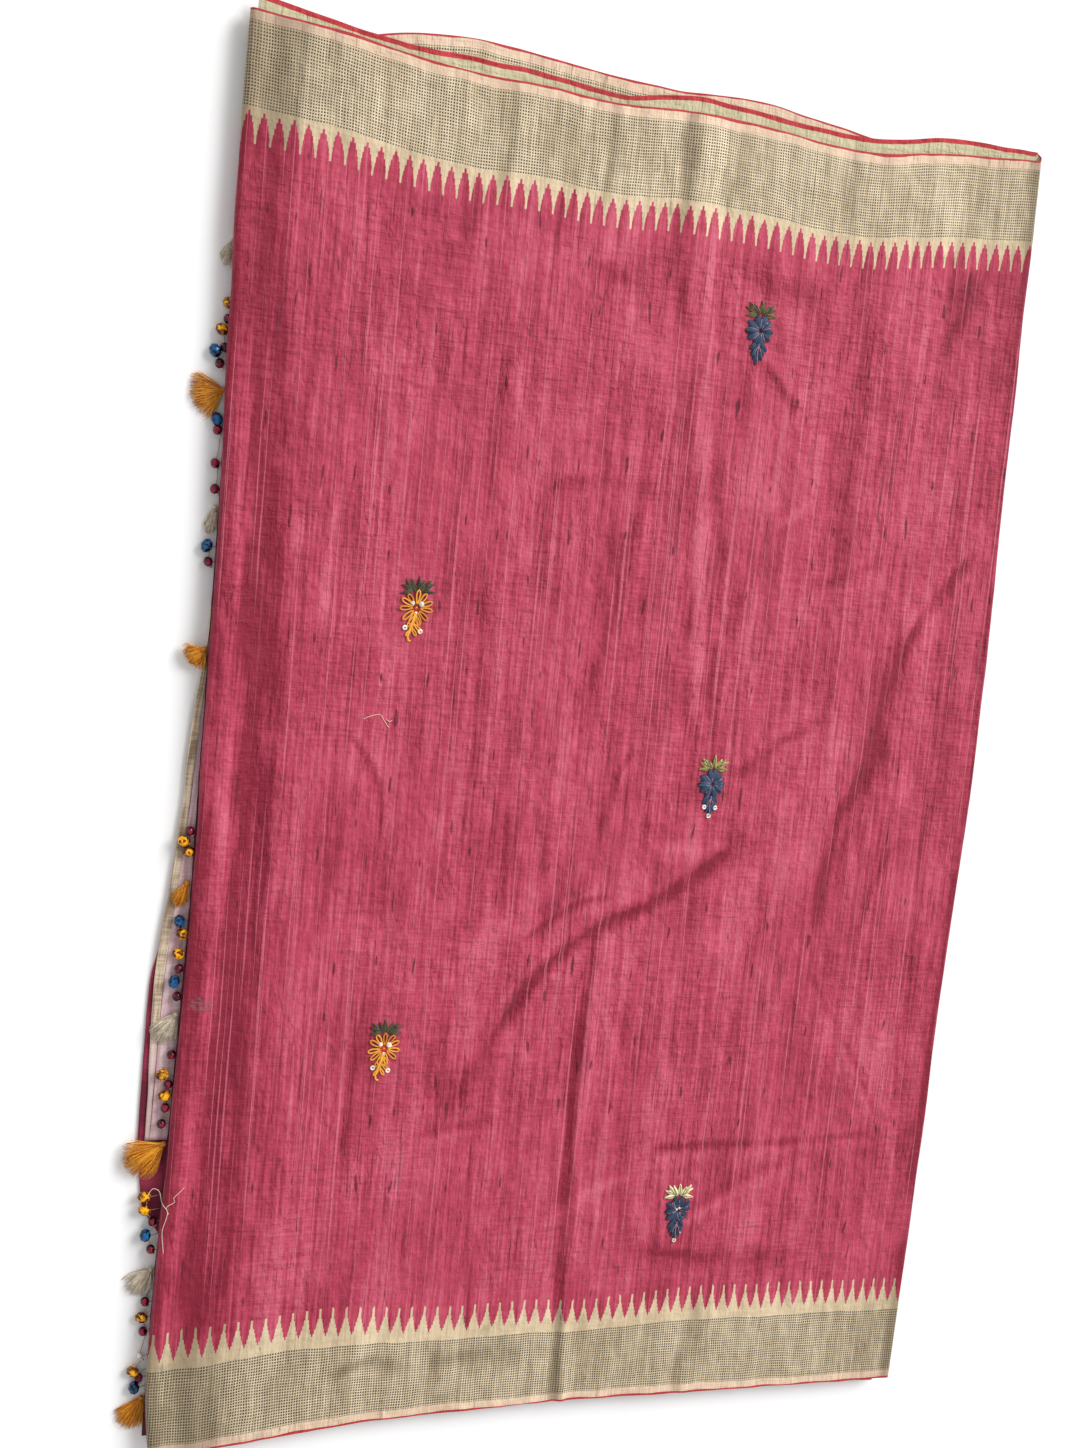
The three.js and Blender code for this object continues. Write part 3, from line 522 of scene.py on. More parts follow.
class Value:
    """What a node of a material works out, with sums written as for plain numbers."""

    def __init__(self, shader, socket):
        self.shader, self.socket = shader, socket

    def math(self, operation, *others, clamp=False):
        values = enumerate((self, *others))
        return self.shader.put("ShaderNodeMath", values, operation=operation, use_clamp=clamp)

    def __add__(self, other):
        return self.math("ADD", other)

    def __sub__(self, other):
        return self.math("SUBTRACT", other)

    def __rsub__(self, other):
        return self * -1.0 + other

    def __mul__(self, other):
        return self.math("MULTIPLY", other)

    def __abs__(self):
        return self.math("ABSOLUTE")

    def between(self, low, high, start=0.0, end=1.0):
        """The value's way from low to high, eased, as start to end."""
        values = {"Value": self, "From Min": low, "From Max": high, "To Min": start, "To Max": end}
        return self.shader.put("ShaderNodeMapRange", values, interpolation_type="SMOOTHSTEP")

    def steps(self, stops):
        """The value read off a line through (at, height) stops."""
        read = self.shader.put("ShaderNodeValToRGB", {0: self})
        line = read.socket.node.color_ramp
        for k, (at, height) in enumerate(stops):
            stop = line.elements[k] if k < 2 else line.elements.new(at)
            stop.position = at
            stop.color = (height, height, height, 1)
        return read

    def split(self):
        return [self.shader.put("ShaderNodeSeparateXYZ", {0: self}, axis) for axis in range(3)]


class Shader:
    """A material and short calls that put nodes in it, whose values are Values or constants."""

    def __init__(self, name, roughness, specular, sheen=0.0):
        self.material = bpy.data.materials.new(name)
        self.material.use_nodes = True
        self.tree = self.material.node_tree
        self.surface = self.tree.nodes["Principled BSDF"]
        values = {"Roughness": roughness, "Specular IOR Level": specular}
        values.update({"Sheen Weight": sheen, "Sheen Roughness": SHEEN_ROUGHNESS})
        for socket, value in values.items():
            self.surface.inputs[socket].default_value = value

    def feed(self, socket, value):
        if isinstance(value, Value):
            self.tree.links.new(value.socket, socket)
        else:
            socket.default_value = value

    def put(self, kind, values=(), output=0, **settings):
        node = self.tree.nodes.new(kind)
        for name, value in settings.items():
            setattr(node, name, value)
        for socket, value in dict(values).items():
            self.feed(node.inputs[socket], value)
        return Value(self, node.outputs[output])

    def attribute(self, name, output="Fac"):
        return self.put("ShaderNodeAttribute", (), output, attribute_name=name)

    @cached_property
    def cloth(self):
        """Where each point is on the cloth, as set_cloth keeps it."""
        return self.attribute("cloth", "Vector")

    def noise(self, across, along, detail, seed):
        """Noise with patches about that size in millimetres over the cloth, from 0 to 1."""
        sizes = {0: self.cloth, 1: (1 / across, 1 / along, 0)}
        scaled = self.put("ShaderNodeVectorMath", sizes, operation="MULTIPLY")
        moved = self.put("ShaderNodeVectorMath", {0: scaled, 1: seed * SEED_STEP})
        values = {"Vector": moved, "Scale": 1.0, "Detail": detail, "Roughness": NOISE_ROUGHNESS}
        return self.put("ShaderNodeTexNoise", values)

    def sway(self, weight, *noise):
        """Noise that goes as far below 0 as above it, by half the weight."""
        return (self.noise(*noise) - 0.5) * weight

    def mix(self, share, a, b, blend="MIX"):
        values = {0: share, 6: a, 7: b}
        return self.put("ShaderNodeMix", values, 2, data_type="RGBA", blend_type=blend)

    def dim(self, colour, share):
        """A colour times a number, from 0 up."""
        grey = self.put("ShaderNodeCombineXYZ", {0: share, 1: share, 2: share})
        return self.mix(1.0, colour, grey, blend="MULTIPLY")

    def finish(self, colour, *reliefs):
        """Connects the colour, and bumps as (height from 0 to 1, depth in millimetres, strength)."""
        self.feed(self.surface.inputs["Base Color"], colour)
        above = {}
        for height, depth, strength in reliefs:
            values = {"Height": height, "Distance": depth * MM, "Strength": strength, **above}
            above = {"Normal": self.put("ShaderNodeBump", values)}
        for socket, normal in above.items():
            self.feed(self.surface.inputs[socket], normal)
        return self.material


# ---------------------------------------------------------------- the woven silk

PINK = srgb(179, 60, 85)
DARK_PINK = srgb(126, 16, 42)
LIGHT_PINK = srgb(214, 108, 130)
SLUB = srgb(84, 12, 34)
CREAM = srgb(226, 204, 170)
DULL_CREAM = srgb(186, 164, 130)
PALE_GROUND = srgb(246, 230, 200)
PEACH = srgb(236, 210, 182)
DULL_PEACH = srgb(212, 178, 152)
OLIVE = srgb(44, 36, 20)
RED_EDGE = srgb(184, 54, 60)
REVERSE = srgb(210, 200, 164)
DULL_REVERSE = srgb(184, 176, 138)
CREAM_SLUB = srgb(110, 88, 60)
GREY_GROUND = srgb(140, 126, 92)
STREAK = srgb(92, 70, 44)
PEACH_BAR = srgb(150, 100, 84)
MARK = srgb(60, 44, 34)
GREEN_STAIN = srgb(66, 84, 60)
GREY_STAIN = srgb(112, 92, 92)

# Distances in from the selvedge.
RED_WIDTH = 1.7
DOTS_FROM = RED_WIDTH + 6.4
REVERSE_RED_WIDTH = 3.7
TOOTH_STEP = 1.15
# Distances along the selvedge. The dots have one pitch along it and one in from it.
DOT_PITCH = (2.15, 2.3)
TOOTH_PITCH = 11.25
RETURN_FROM = 351.5  # where the cloth has turned under at the right fold
# Half the soft rims of dots and teeth, as shares of a pitch.
DOT_RIM = 0.07
TOOTH_RIM = 0.035
# Each border: where its dots end, how much further in its teeth start, how long they are, a
# dot's share of its pitch, how grey its ground is, its teeth's stair, and its stains' middles
# and half sizes. The arch is the third layer's, which has no teeth within what shows.
BORDERS = named_rows(
    "name dots_to base teeth dot grey stair stains",
    ("upper", 69.5, 2.0, 23.0, 0.56, 0.05, "stepped", []),
    ("lower", 69.0, 7.6, 23.3, 0.62, 0.12, "tapered", [((-68, -477), (5, 6)), ((-52, -486), (4, 4))]),
    ("arch", 12.6, 90, 23.0, 0.6, 0.0, "stepped", []),
)
# Half the width of the pink between two teeth, as a share of the pitch, from the teeth's feet
# (0) to their tips (1). The upper ones have a thin tip, a shoulder and long treads, the lower
# ones a taper, and both end in the cream's own thin tip.
TOOTH_STAIRS = {
    "stepped": [
        (0.01, 0.15), (0.15, 0.18), (0.16, 0.42), (0.34, 0.46), (0.35, 0.62), (0.54, 0.66),
        (0.55, 0.76), (0.7, 0.78), (0.71, 0.84), (0.97, 0.86),
    ],
    "tapered": [
        (0.01, 0.1), (0.11, 0.13), (0.12, 0.3), (0.27, 0.33), (0.28, 0.48), (0.43, 0.51),
        (0.44, 0.64), (0.6, 0.67), (0.61, 0.82), (0.97, 0.85),
    ],
}
# Noises, each as its patches' size across and along the threads, its detail and its seed, and
# for the tones first their weights.
FINE_THREADS = (2.1, 60, 2, 1)
BROADER_TONES = ((1.9, 7, 130, 2, 2), (1.2, 34, 420, 2, 3), (1.8, 56, 84, 3, 4), (1.0, 2.6, 6, 2, 6))


def thin_lines(noise):
    """1 along the thin lines on which a noise is at its middle."""
    return abs(noise - 0.5).between(0.004, 0.034, 1.0, 0.0)


def weft(sh):
    """The uneven weft, whose threads run along Y: its tone, from about -1 to 1, uneven at random and
    with painted shade and light in it, its dark slubs, its light threads, and the heights of its
    threads and of its crumpling."""
    fine = sh.noise(*FINE_THREADS)
    tone = (fine - 0.5) * 2.3
    ribs_here = sh.noise(110, 140, 1, 19).between(0.35, 0.6, 0.4, 1.3)
    ribs = sh.sway(ribs_here, 26, 4.2, 2, 5)
    for weight, *noise in BROADER_TONES:
        tone = tone + sh.sway(weight, *noise)
    creased = thin_lines(sh.noise(16, 60, 3, 17)) * sh.noise(60, 90, 1, 18).between(0.4, 0.6)
    ripples = thin_lines(sh.noise(22, 8, 2, 20)) * sh.noise(70, 70, 1, 26).between(0.4, 0.6)
    creased = creased + ripples * 0.45
    # painted shade from the piece's attribute and along the thin crease lines darkens the tone
    tone = tone + ribs * 0.45 - creased * 0.14 - sh.attribute("hollow") * 0.85
    crowd = sh.noise(55, 240, 2, 7).between(0.42, 0.6, 0.25, 1.0)
    spindles = sh.noise(5.5, 30, 1, 8).between(0.69, 0.76)
    dashes = sh.noise(2.8, 75, 2, 9).between(0.6, 0.69)
    slubs = (dashes * (crowd * 0.62)).math("MAXIMUM", spindles)
    lights = sh.noise(2.4, 420, 2, 10).between(0.59, 0.66)
    height = fine * 0.6 + slubs * 0.5 + (ribs * 0.6 + lights * 0.4) - creased * 0.4
    crumple = sh.noise(17, 24, 3, 15) + ribs * 0.14
    return {"tone": tone, "slubs": slubs, "lights": lights, "height": height, "crumple": crumple}


def weft_reliefs(silk):
    return (silk["crumple"], 5.0, 1.0), (silk["height"], 0.75, 1.0)


def pink_colour(sh, silk):
    # the tone's dark end carries painted shade and its light end painted light, along with the silk's
    # own uneven tone
    dark = silk["tone"].math("MULTIPLY", -1.0, clamp=True)
    light = silk["tone"].math("MULTIPLY", 1.0, clamp=True)
    colour = sh.mix(dark * 0.9, PINK, DARK_PINK)
    colour = sh.mix(light * 0.75, colour, LIGHT_PINK)
    colour = sh.mix(silk["lights"] * 0.55, colour, LIGHT_PINK)
    return sh.mix(silk["slubs"] * 0.8, colour, SLUB)


def cream_colour(sh, silk, light=CREAM, dull=DULL_CREAM, strength=1.0):
    colour = sh.mix(silk["tone"].between(0.8, -1.0, 0.0, 0.8 * strength), light, dull)
    # painted shade dims the cream, and painted light lifts it a little where the shade is below 0
    colour = sh.dim(colour, sh.attribute("hollow").between(-0.7, 1.3, 1.1, 0.56))
    return sh.mix(silk["slubs"] * (0.35 * strength), colour, CREAM_SLUB)


def red_edge(sh, silk):
    return sh.dim(RED_EDGE, silk["tone"].between(-0.8, 0.8, 0.8, 1.15))


def over(value, edge, soft):
    """1 where value is over the edge, with a soft rim that wide in all."""
    return value.between(edge - soft / 2, edge + soft / 2)


def dot_share(along, inward, look):
    """1 on the dark squares of the border's grid."""
    half = look["dot"] / 2
    counted = [value * (1 / pitch) for value, pitch in zip((along, inward), DOT_PITCH)]
    from_middle = [abs(value.math("FRACT") - 0.5) for value in counted]
    across, deep = [value.between(half + DOT_RIM, half - DOT_RIM) for value in from_middle]
    return across * deep


def tooth_share(sh, along, inward, look):
    """1 on the cream of the border's teeth, worked in steps of a few threads."""
    counted = along * (1 / TOOTH_PITCH)
    number = {"W": counted.math("FLOOR")}
    chance = sh.put("ShaderNodeTexWhiteNoise", number, noise_dimensions="1D")
    foot = look["dots_to"] + look["base"]
    stepped = ((inward - foot) * (1 / TOOTH_STEP)).math("FLOOR") * TOOTH_STEP
    height = stepped * (1 / look["teeth"]) + (chance - 0.5) * 0.05
    stair = [(at, lerp(0.05, 0.95, half)) for at, half in TOOTH_STAIRS[look["stair"]]]
    pink_half = height.steps([(0.0, 0.0), *stair, (0.985, 1.0)])
    from_middle = abs(counted.math("FRACT") - 0.5) * 2
    return (from_middle * 0.9 + 0.05 - pink_half).between(-TOOTH_RIM, TOOTH_RIM)


def spot(sh, centre, size, seed, ragged=2.4):
    """1 in a small ragged spot of the front."""
    from_centre = {0: sh.cloth, 1: (*centre, 0)}
    x, y, _ = sh.put("ShaderNodeVectorMath", from_centre, operation="SUBTRACT").split()
    across, along = [abs(v * (1 / s)).math("POWER", 2.0) for v, s in zip((x, y), size)]
    return (across + along + sh.sway(ragged, 5, 5, 3, seed)).between(1.0, 0.5)


def reverse_colour(sh, silk):
    """The back of the cloth near a selvedge: a thick red edge and a plain greenish band."""
    inward = sh.cloth.split()[2] + sh.sway(1.4, 16, 40, 2, 31)
    band = cream_colour(sh, silk, REVERSE, DULL_REVERSE, 0.8)
    return sh.mix(over(inward, REVERSE_RED_WIDTH, 0.4), red_edge(sh, silk), band)


def border_silk(look):
    """The face of the cloth near a selvedge: red edge, peach band, dotted band, cream teeth and
    the pink field that they run into."""
    sh = Shader("silk_border_" + look["name"], 0.72, 0.3, sheen=0.12)
    silk = weft(sh)
    along, _, inward = sh.cloth.split()
    waved = inward + sh.sway(4.5, 46, 50, 2, 11)
    shifted = along + sh.sway(4.0, 50, 44, 2, 12)
    cream = cream_colour(sh, silk)
    worn = sh.noise(9, 34, 3, 13).between(0.3, 0.6, 0.75, 1.0)
    dotted_zone = 1.0 - over(waved, look["dots_to"], 0.5)
    dots = dot_share(shifted, waved, look) * worn * dotted_zone
    ground = sh.mix(0.5, cream_colour(sh, silk, PALE_GROUND), cream)
    ground = sh.mix(look["grey"], ground, GREY_GROUND)
    dotted = sh.mix(dots * 0.96, ground, OLIVE)
    streaks = sh.noise(1.6, 26, 2, 14).between(0.6, 0.75)
    dotted = sh.mix(streaks * 0.22, dotted, STREAK)
    bars = sh.noise(1.6, 40, 2, 16).between(0.6, 0.68)
    peach = cream_colour(sh, silk, PEACH, DULL_PEACH)
    peach = sh.mix(bars * 0.5, peach, PEACH_BAR)
    colour = sh.mix(dotted_zone, cream, dotted)
    colour = sh.mix(tooth_share(sh, shifted, inward, look), pink_colour(sh, silk), colour)
    colour = sh.mix(over(waved, DOTS_FROM, 0.4), peach, colour)
    colour = sh.mix(over(waved, RED_WIDTH, 0.3), red_edge(sh, silk), colour)
    if look["name"] != "arch":
        colour = sh.mix(over(along, RETURN_FROM, 2), colour, reverse_colour(sh, silk))
    marks = sh.noise(3.6, 19, 2, 24).between(0.71, 0.76)
    colour = sh.mix(marks * 0.55, colour, MARK)
    for centre, size in look["stains"]:
        stain = spot(sh, centre, size, 25) * silk["height"].between(0.2, 0.7, 0.4, 1.0)
        colour = sh.mix(stain * 0.5, colour, GREEN_STAIN)
    dents = silk["height"] + dots * 0.4
    return sh.finish(colour, (silk["crumple"], 3.0, 1.0), (dents, 0.45, 0.7))


def field_silk():
    sh = Shader("silk_field", 0.7, 0.3, sheen=0.14)
    silk = weft(sh)
    colour = pink_colour(sh, silk)
    # painted shadow on the cloth under each sprig, dark between its threads
    for row in SPRIGS:
        under = spot(sh, (row["x"], row["y"] + 1), (12.5, 14), 23, 0.8)
        colour = sh.mix(under * 0.6, colour, DARK_PINK)
    strokes = sh.noise(4.5, 1.6, 2, 22).between(0.46, 0.56)
    stain = spot(sh, (-330, -186), (11, 7), 21) * strokes
    colour = sh.mix(stain * 0.75, colour, GREY_STAIN)
    return sh.finish(colour, *weft_reliefs(silk))


def reverse_silk():
    sh = Shader("silk_reverse", 0.75, 0.3, sheen=0.1)
    silk = weft(sh)
    return sh.finish(reverse_colour(sh, silk), *weft_reliefs(silk))


HEM_FADE = (-205, -240)  # along Y, over which the golden hem passes into another colour


def inner_silk(name, light, dark, threads, below=None):
    """Plain inner cloth with threads of that width along Y. below is the colour that it passes
    into towards its lower end."""
    sh = Shader("silk_" + name, 0.75, 0.3, sheen=0.1)
    ribs = sh.noise(threads, 60, 3, 41)
    cross = sh.noise(9, 1.6, 2, 42)
    tone = ribs * 0.5 + (cross * 0.2 + sh.noise(4, 30, 2, 43) * 0.3)
    colour = sh.mix(tone.between(0.4, 0.62), srgb(*dark), srgb(*light))
    if below:
        faded = sh.cloth.split()[1].between(*HEM_FADE)
        colour = sh.mix(faded, colour, sh.mix(tone, srgb(*dark), srgb(*below)))
    return sh.finish(colour, (ribs + cross * 0.5, 0.35, 0.6))


def own_shade(sh, kind, output, scale, weight, **values):
    """The shade that its Heap gave to each point, made uneven by a pattern, and the pattern."""
    place = sh.put("ShaderNodeTexCoord", (), "Object")
    pattern = sh.put(kind, {"Vector": place, "Scale": scale, **values}, output)
    if output == "Color":
        pattern = pattern.split()[0]
    return sh.attribute("shade") + (pattern - 0.5) * weight, pattern


def thread_shader(name, dark, light):
    """Twisted thread, each one with a shade of its own."""
    sh = Shader(name, 0.55, 0.35, sheen=0.25)
    share, fibres = own_shade(sh, "ShaderNodeTexNoise", 0, 900.0, 0.7, Detail=2.0)
    return sh.finish(sh.mix(share.between(0.0, 1.0), srgb(*dark), srgb(*light)), (fibres, 0.15, 0.5))


def bead_shader(name, dark, light, roughness=0.08):
    """Coloured glass, whose facets each have painted glints and shade of their own, over the painted
    rim shade that its Heap gave.
    """
    sh = Shader(name, roughness, 0.45)
    # painted glints and shade, a patch of its own on each facet
    share, _ = own_shade(sh, "ShaderNodeTexVoronoi", "Color", 420.0, 1.6)
    return sh.finish(sh.mix(share.between(0.15, 1.1), srgb(*dark), srgb(*light)))


# ---------------------------------------------------------------- the front panel

SPLIT = 106  # a border's depth with its teeth, and the start of the field's pieces
BORDER_DEPTH = 98
# How much deeper than its middle depth the lower border lies along X, where the cloth is pulled.
LOWER_PULL = named_rows(
    "x deeper",
    (-350, 4), (-320, 5), (-262, 8), (-211, 6), (-155, 0), (-100, -4), (-44, -4), (11, -8),
    (67, -4), (125, 0), (360, -1),
)
TOP_COLUMNS = 232
TURN_COLUMNS = 12
RETURN_COLUMNS = 3
FIELD_ROWS = 296
BORDER_ROWS = 36


def front_grid():
    """The front's middle surface as points[column, row], with where each is on the cloth: the
    return under the left fold, round it, across the top, round the right fold and its return."""
    depth = np.linspace(0, SPLIT, BORDER_ROWS)
    full = SELVEDGES[0]["front"] - SELVEDGES[0]["lower"]
    field = np.linspace(SPLIT / full, 1 - SPLIT / full, FIELD_ROWS)
    t = np.concatenate([depth / full, field[1:-1], 1 - depth[::-1] / full])
    nominal = lerp(SELVEDGES[0]["lower"], SELVEDGES[0]["front"], t)
    left = fold_line("left", nominal) + 0.7 * waver(nominal, 45, 61)
    right = fold_line("right", nominal) + 0.7 * waver(nominal, 60, 62)
    outer_mid = FRONT_MID + OUTWARD
    left_bottom, right_bottom = THIRD_MID - OUTWARD, SECOND_MID - OUTWARD
    left_top = outer_mid + relief(left + 3, nominal)[0]
    right_top = outer_mid + relief(right - 3, nominal)[0]
    left_radius, right_radius = (left_top - left_bottom) / 2, (right_top - right_bottom) / 2
    # Each column's x, z, place along the cloth and how far it has turned under at the right.
    columns = []
    for f in np.linspace(0, 1, RETURN_COLUMNS, endpoint=False):
        back = LEFT_RETURN * (1 - f)
        counted = left - (math.pi - 1) * left_radius - back
        columns.append((left + left_radius + back, left_bottom, counted, 0))
    for f in np.linspace(0, 1, TURN_COLUMNS):
        angle = math.pi * (1.5 - f)
        across = left + left_radius * (1 + math.cos(angle))
        up = left_bottom + left_radius * (1 + math.sin(angle))
        columns.append((across, up, left + left_radius * (1 - math.pi * (1 - f)), 0))
    for f in np.linspace(0, 1, TOP_COLUMNS)[1:-1]:
        across = lerp(left + left_radius, right - right_radius, f)
        columns.append((across, 0, across, 0))
    for f in np.linspace(0, 1, TURN_COLUMNS):
        angle = math.pi * (0.5 - f)
        across = right - right_radius * (1 - math.cos(angle))
        up = right_bottom + right_radius * (1 + math.sin(angle))
        columns.append((across, up, right - right_radius * (1 - math.pi * f), f))
    for f in np.linspace(0, 1, RETURN_COLUMNS + 1)[1:]:
        back = RIGHT_RETURN * f
        counted = right + (math.pi - 1) * right_radius + back
        columns.append((right - right_radius - back, right_bottom, counted, 1))
    x, z, counted, turned = [
        np.array([value + np.zeros(len(t)) for value in values]) for values in zip(*columns)
    ]
    first = RETURN_COLUMNS + TURN_COLUMNS
    last = len(columns) - first - 1
    on_top = slice(first, last + 1)
    low = selvedge("lower", x) + 0.5 * waver(x, 24, 63)
    high = lerp(selvedge("front", x), selvedge("second", x), turned) + 0.5 * waver(x, 27, 64)
    rows = len(t)
    y = np.zeros_like(x)
    y[:, :BORDER_ROWS] = low[:, :BORDER_ROWS] + depth
    y[:, rows - BORDER_ROWS :] = high[:, rows - BORDER_ROWS :] - depth[::-1]
    share = np.linspace(0, 1, FIELD_ROWS)[1:-1]
    middle = slice(BORDER_ROWS, rows - BORDER_ROWS)
    y[:, middle] = lerp(low[:, middle] + SPLIT, high[:, middle] - SPLIT, share)
    raised, dark = relief(x[on_top], np.broadcast_to(nominal, x.shape)[on_top])
    surface = outer_mid + raised
    from_left = np.exp(-(x[on_top] - x[first]) / 6) * (left_top - surface[0])
    from_right = np.exp(-(x[last] - x[on_top]) / 6) * (right_top - surface[-1])
    z[on_top] = surface + from_left + from_right
    pull = BORDER_DEPTH / (BORDER_DEPTH + read_table(LOWER_PULL, "x", "deeper", x))
    inward = np.minimum((y - low) * np.where(y - low < SPLIT + 1, pull, 1), high - y)
    # painted shade: full round the left fold and under it, fading round the right fold; on top, the
    # creases' and folds' painted shade, more in troughs, with painted light on ridges
    hollow = 1 - turned
    hollow[on_top] = dark + 0.5 * np.clip((blurred(surface) - surface) / 0.5, -1, 1)
    return np.stack([x, y, z], 2), np.stack([counted, y, inward], 2), hollow


def blurred(grid, rounds=14):
    """A grid of heights evened out over a few steps each way."""
    for _ in range(rounds):
        padded = np.pad(grid, 1, mode="edge")
        around = padded[2:, 1:-1] + padded[:-2, 1:-1] + padded[1:-1, 2:] + padded[1:-1, :-2]
        grid = 0.5 * grid + 0.125 * around
    return grid


# The front's pieces along Y, with their looks; each has a left and a right half.
FRONT_PARTS = [("lower_border", "lower"), ("field", "field"), ("upper_border", "upper")]


def front_panel(materials):
    """The front as six pieces that share their edges' points and normals, so that each pattern
    has a map fine enough to hold it. Returns the surface as a search tree and its points."""
    points, cloth, hollow = front_grid()
    normals = grid_normals(points)
    columns, rows = points.shape[:2]
    row_cuts = [0, BORDER_ROWS - 1, rows - BORDER_ROWS, rows - 1]
    column_cuts = [0, columns // 2, columns - 1]
    for (number, (name, look)), half in product(enumerate(FRONT_PARTS), (0, 1)):
        low, high = row_cuts[number], row_cuts[number + 1] + 1
        start, end = column_cuts[half], column_cuts[half + 1] + 1
        part = (slice(start, end), slice(low, high))
        side = ("left", "right")[half]
        ob = shell(f"front_{name}_{side}", points[part], normals[part], cloth[part])
        # each piece keeps its painted shade for its material
        set_values(ob, "hollow", np.tile(hollow[part].ravel(), 2))
        slot = "silk_field" if look == "field" else "silk_border"
        finish_piece(ob, [materials[look]], slot, ["front_panel"])
        across = (cloth[end - 1, low, 0] - cloth[start, low, 0]) * MM
        length = (points[start + 20, high - 1, 1] - points[start + 20, low, 1]) * MM
    outer = points + normals * SHELL / 2
    tree = BVHTree.FromPolygons(outer.reshape(-1, 3).tolist(), grid_quads(columns, rows).tolist())
    return tree, points


# ---------------------------------------------------------------- layers along the selvedges


def selvedge_band(name, material, mid, ends, edge, hidden, lift, reach, seed):
    """A layer that shows along a selvedge, from a line hidden under the front to its own edge,
    which is lifted a little over its last reach, unevenly along X."""
    x, share = np.meshgrid(np.linspace(*ends, 200), np.linspace(0, 1, 26), indexing="ij")
    edge_y = edge(x) + 0.6 * waver(x, 22, len(name))
    hidden_y = hidden(x)
    y = lerp(hidden_y, edge_y, share)
    inward = np.abs(edge_y - y)
    z = mid + lift * np.exp(-inward / reach) * (0.55 + 0.45 * waver(x, 60, seed))
    cloth = np.stack([x + CLOTH_APART, y, inward], 2)
    points = np.stack([x, y, z], 2)
    if edge_y[0, 0] < hidden_y[0, 0]:
        points, cloth = points[:, ::-1], cloth[:, ::-1]
    normals = grid_normals(points)
    ob = shell(name + "_cloth", points, normals, cloth)
    finish_piece(ob, [material], "silk_reverse" if "second" in name else "silk_border", [name])
    depth = float(np.abs(edge_y - hidden_y).mean()) * MM
    (ends[1] - ends[0]) * MM


def layers_at_selvedges(front, materials):
    rows = 17  # of the front's, that lie over such a layer
    ends = (-341, front[-1, -rows:, 0].min() - 0.4)
    foot_ends = (front[0, :rows, 0].max() + 0.4, front[-1, :rows, 0].min() - 0.4)

    def along(name, reach=0):
        return lambda x: selvedge(name, x) + reach

    def foot(x):
        return selvedge("lower", x) + lerp(2, -3, smoothstep(x, 250, 320))

    inner, lower_inner = along("front", -BAND_DEPTH), along("lower", BAND_DEPTH)
    reverse, arch = materials["reverse"], materials["arch"]
    for name, look, mid, span, edge, hidden, lift in (
        ("second_layer", reverse, SECOND_MID, ends, along("second"), inner, (0.7, 6, 71)),
        ("third_layer", arch, THIRD_MID, (-284, 200), along("third"), inner, (0.2, 5, 72)),
        ("second_layer_foot", reverse, SECOND_MID, foot_ends, foot, lower_inner, (0.5, 6, 73)),
    ):
        selvedge_band(name, look, mid, span, edge, hidden, *lift)


# ---------------------------------------------------------------- hidden layers


OUTLINE_STEPS = (116, 180, 116, 180)  # of a hidden layer's outline, side by side


def from_corner_to_corner(*corners):
    sides = zip(corners, corners[1:], OUTLINE_STEPS)
    return np.concatenate([np.linspace(a, b, steps, endpoint=False) for a, b, steps in sides])


def layer_outline(inset):
    """The outline of one hidden layer, anticlockwise from its lower left corner."""
    s, t = from_corner_to_corner(0, 1, 1, 0, 0), from_corner_to_corner(0, 0, 1, 1, 0)
    nominal = lerp(SELVEDGES[0]["lower"], SELVEDGES[0]["front"], t)
    left = fold_line("left", nominal) + PALLU_NOTCH + inset
    right = fold_line("right", nominal) - 2 * WALL - inset
    x = lerp(left, right, s)
    low = selvedge("lower", x) + 3 + inset
    high = selvedge("front", x) - 3 - inset
    return x, lerp(low, high, t), low, high


def hidden_layers(material):
    """The layers under the front, each a thin slab with a rounded, slightly wavy edge."""
    profile = [(-1, 2.2), (-0.75, 0.6), (-0.3, 0.0), (0.3, 0.0), (0.75, 0.6), (1, 2.2)]
    points, faces, cloth = [], [], []
    for k in range(HIDDEN_LAYERS):
        rings = []
        for height, inset in profile:
            x, y, low, high = layer_outline(inset)
            uneven = 0.5 + 0.5 * wander(x + y, x - y, 34, 50, 80 + k)
            x0, y0, _, _ = layer_outline(inset + 1.6)
            x, y = lerp(x, x0, uneven), lerp(y, y0, uneven)
            low_side = np.maximum(smoothstep(x, 300, 330), smoothstep(-y, 500, 535))
            tier = lerp(RIM_HEIGHT, HIGH_RIM, low_side) / HIDDEN_LAYERS
            z = tier * (k + (height + 1) / 2)
            rings.append(np.stack([x, y, z], 1))
            inward = np.minimum(y - low, high - y) - inset
            cloth.append(np.stack([x + 3 * z + 50 * k - CLOTH_APART, y, np.maximum(inward, 0.2)], 1))
        size = len(rings[0])
        start = sum(len(p) for p in points)
        for ring in range(len(profile) - 1):
            a = start + ring * size + np.arange(size)
            b = start + ring * size + (np.arange(size) + 1) % size
            faces += np.stack([a, b, b + size, a + size], 1).tolist()
        faces.append((start + np.arange(size))[::-1].tolist())
        faces.append((start + (len(profile) - 1) * size + np.arange(size)).tolist())
        points.append(np.concatenate(rings))
    ob = new_object("hidden_layers", np.concatenate(points), faces)
    set_cloth(ob, np.concatenate(cloth))
    finish_piece(ob, [material], "silk_core", ["core_layers"])


# ---------------------------------------------------------------- inner edges at the left fold


DEEP_TUCK = 15  # how far the deep pink fold's lower end is tucked in


def core_left(y):
    return fold_line("left", y) + PALLU_NOTCH - GAP


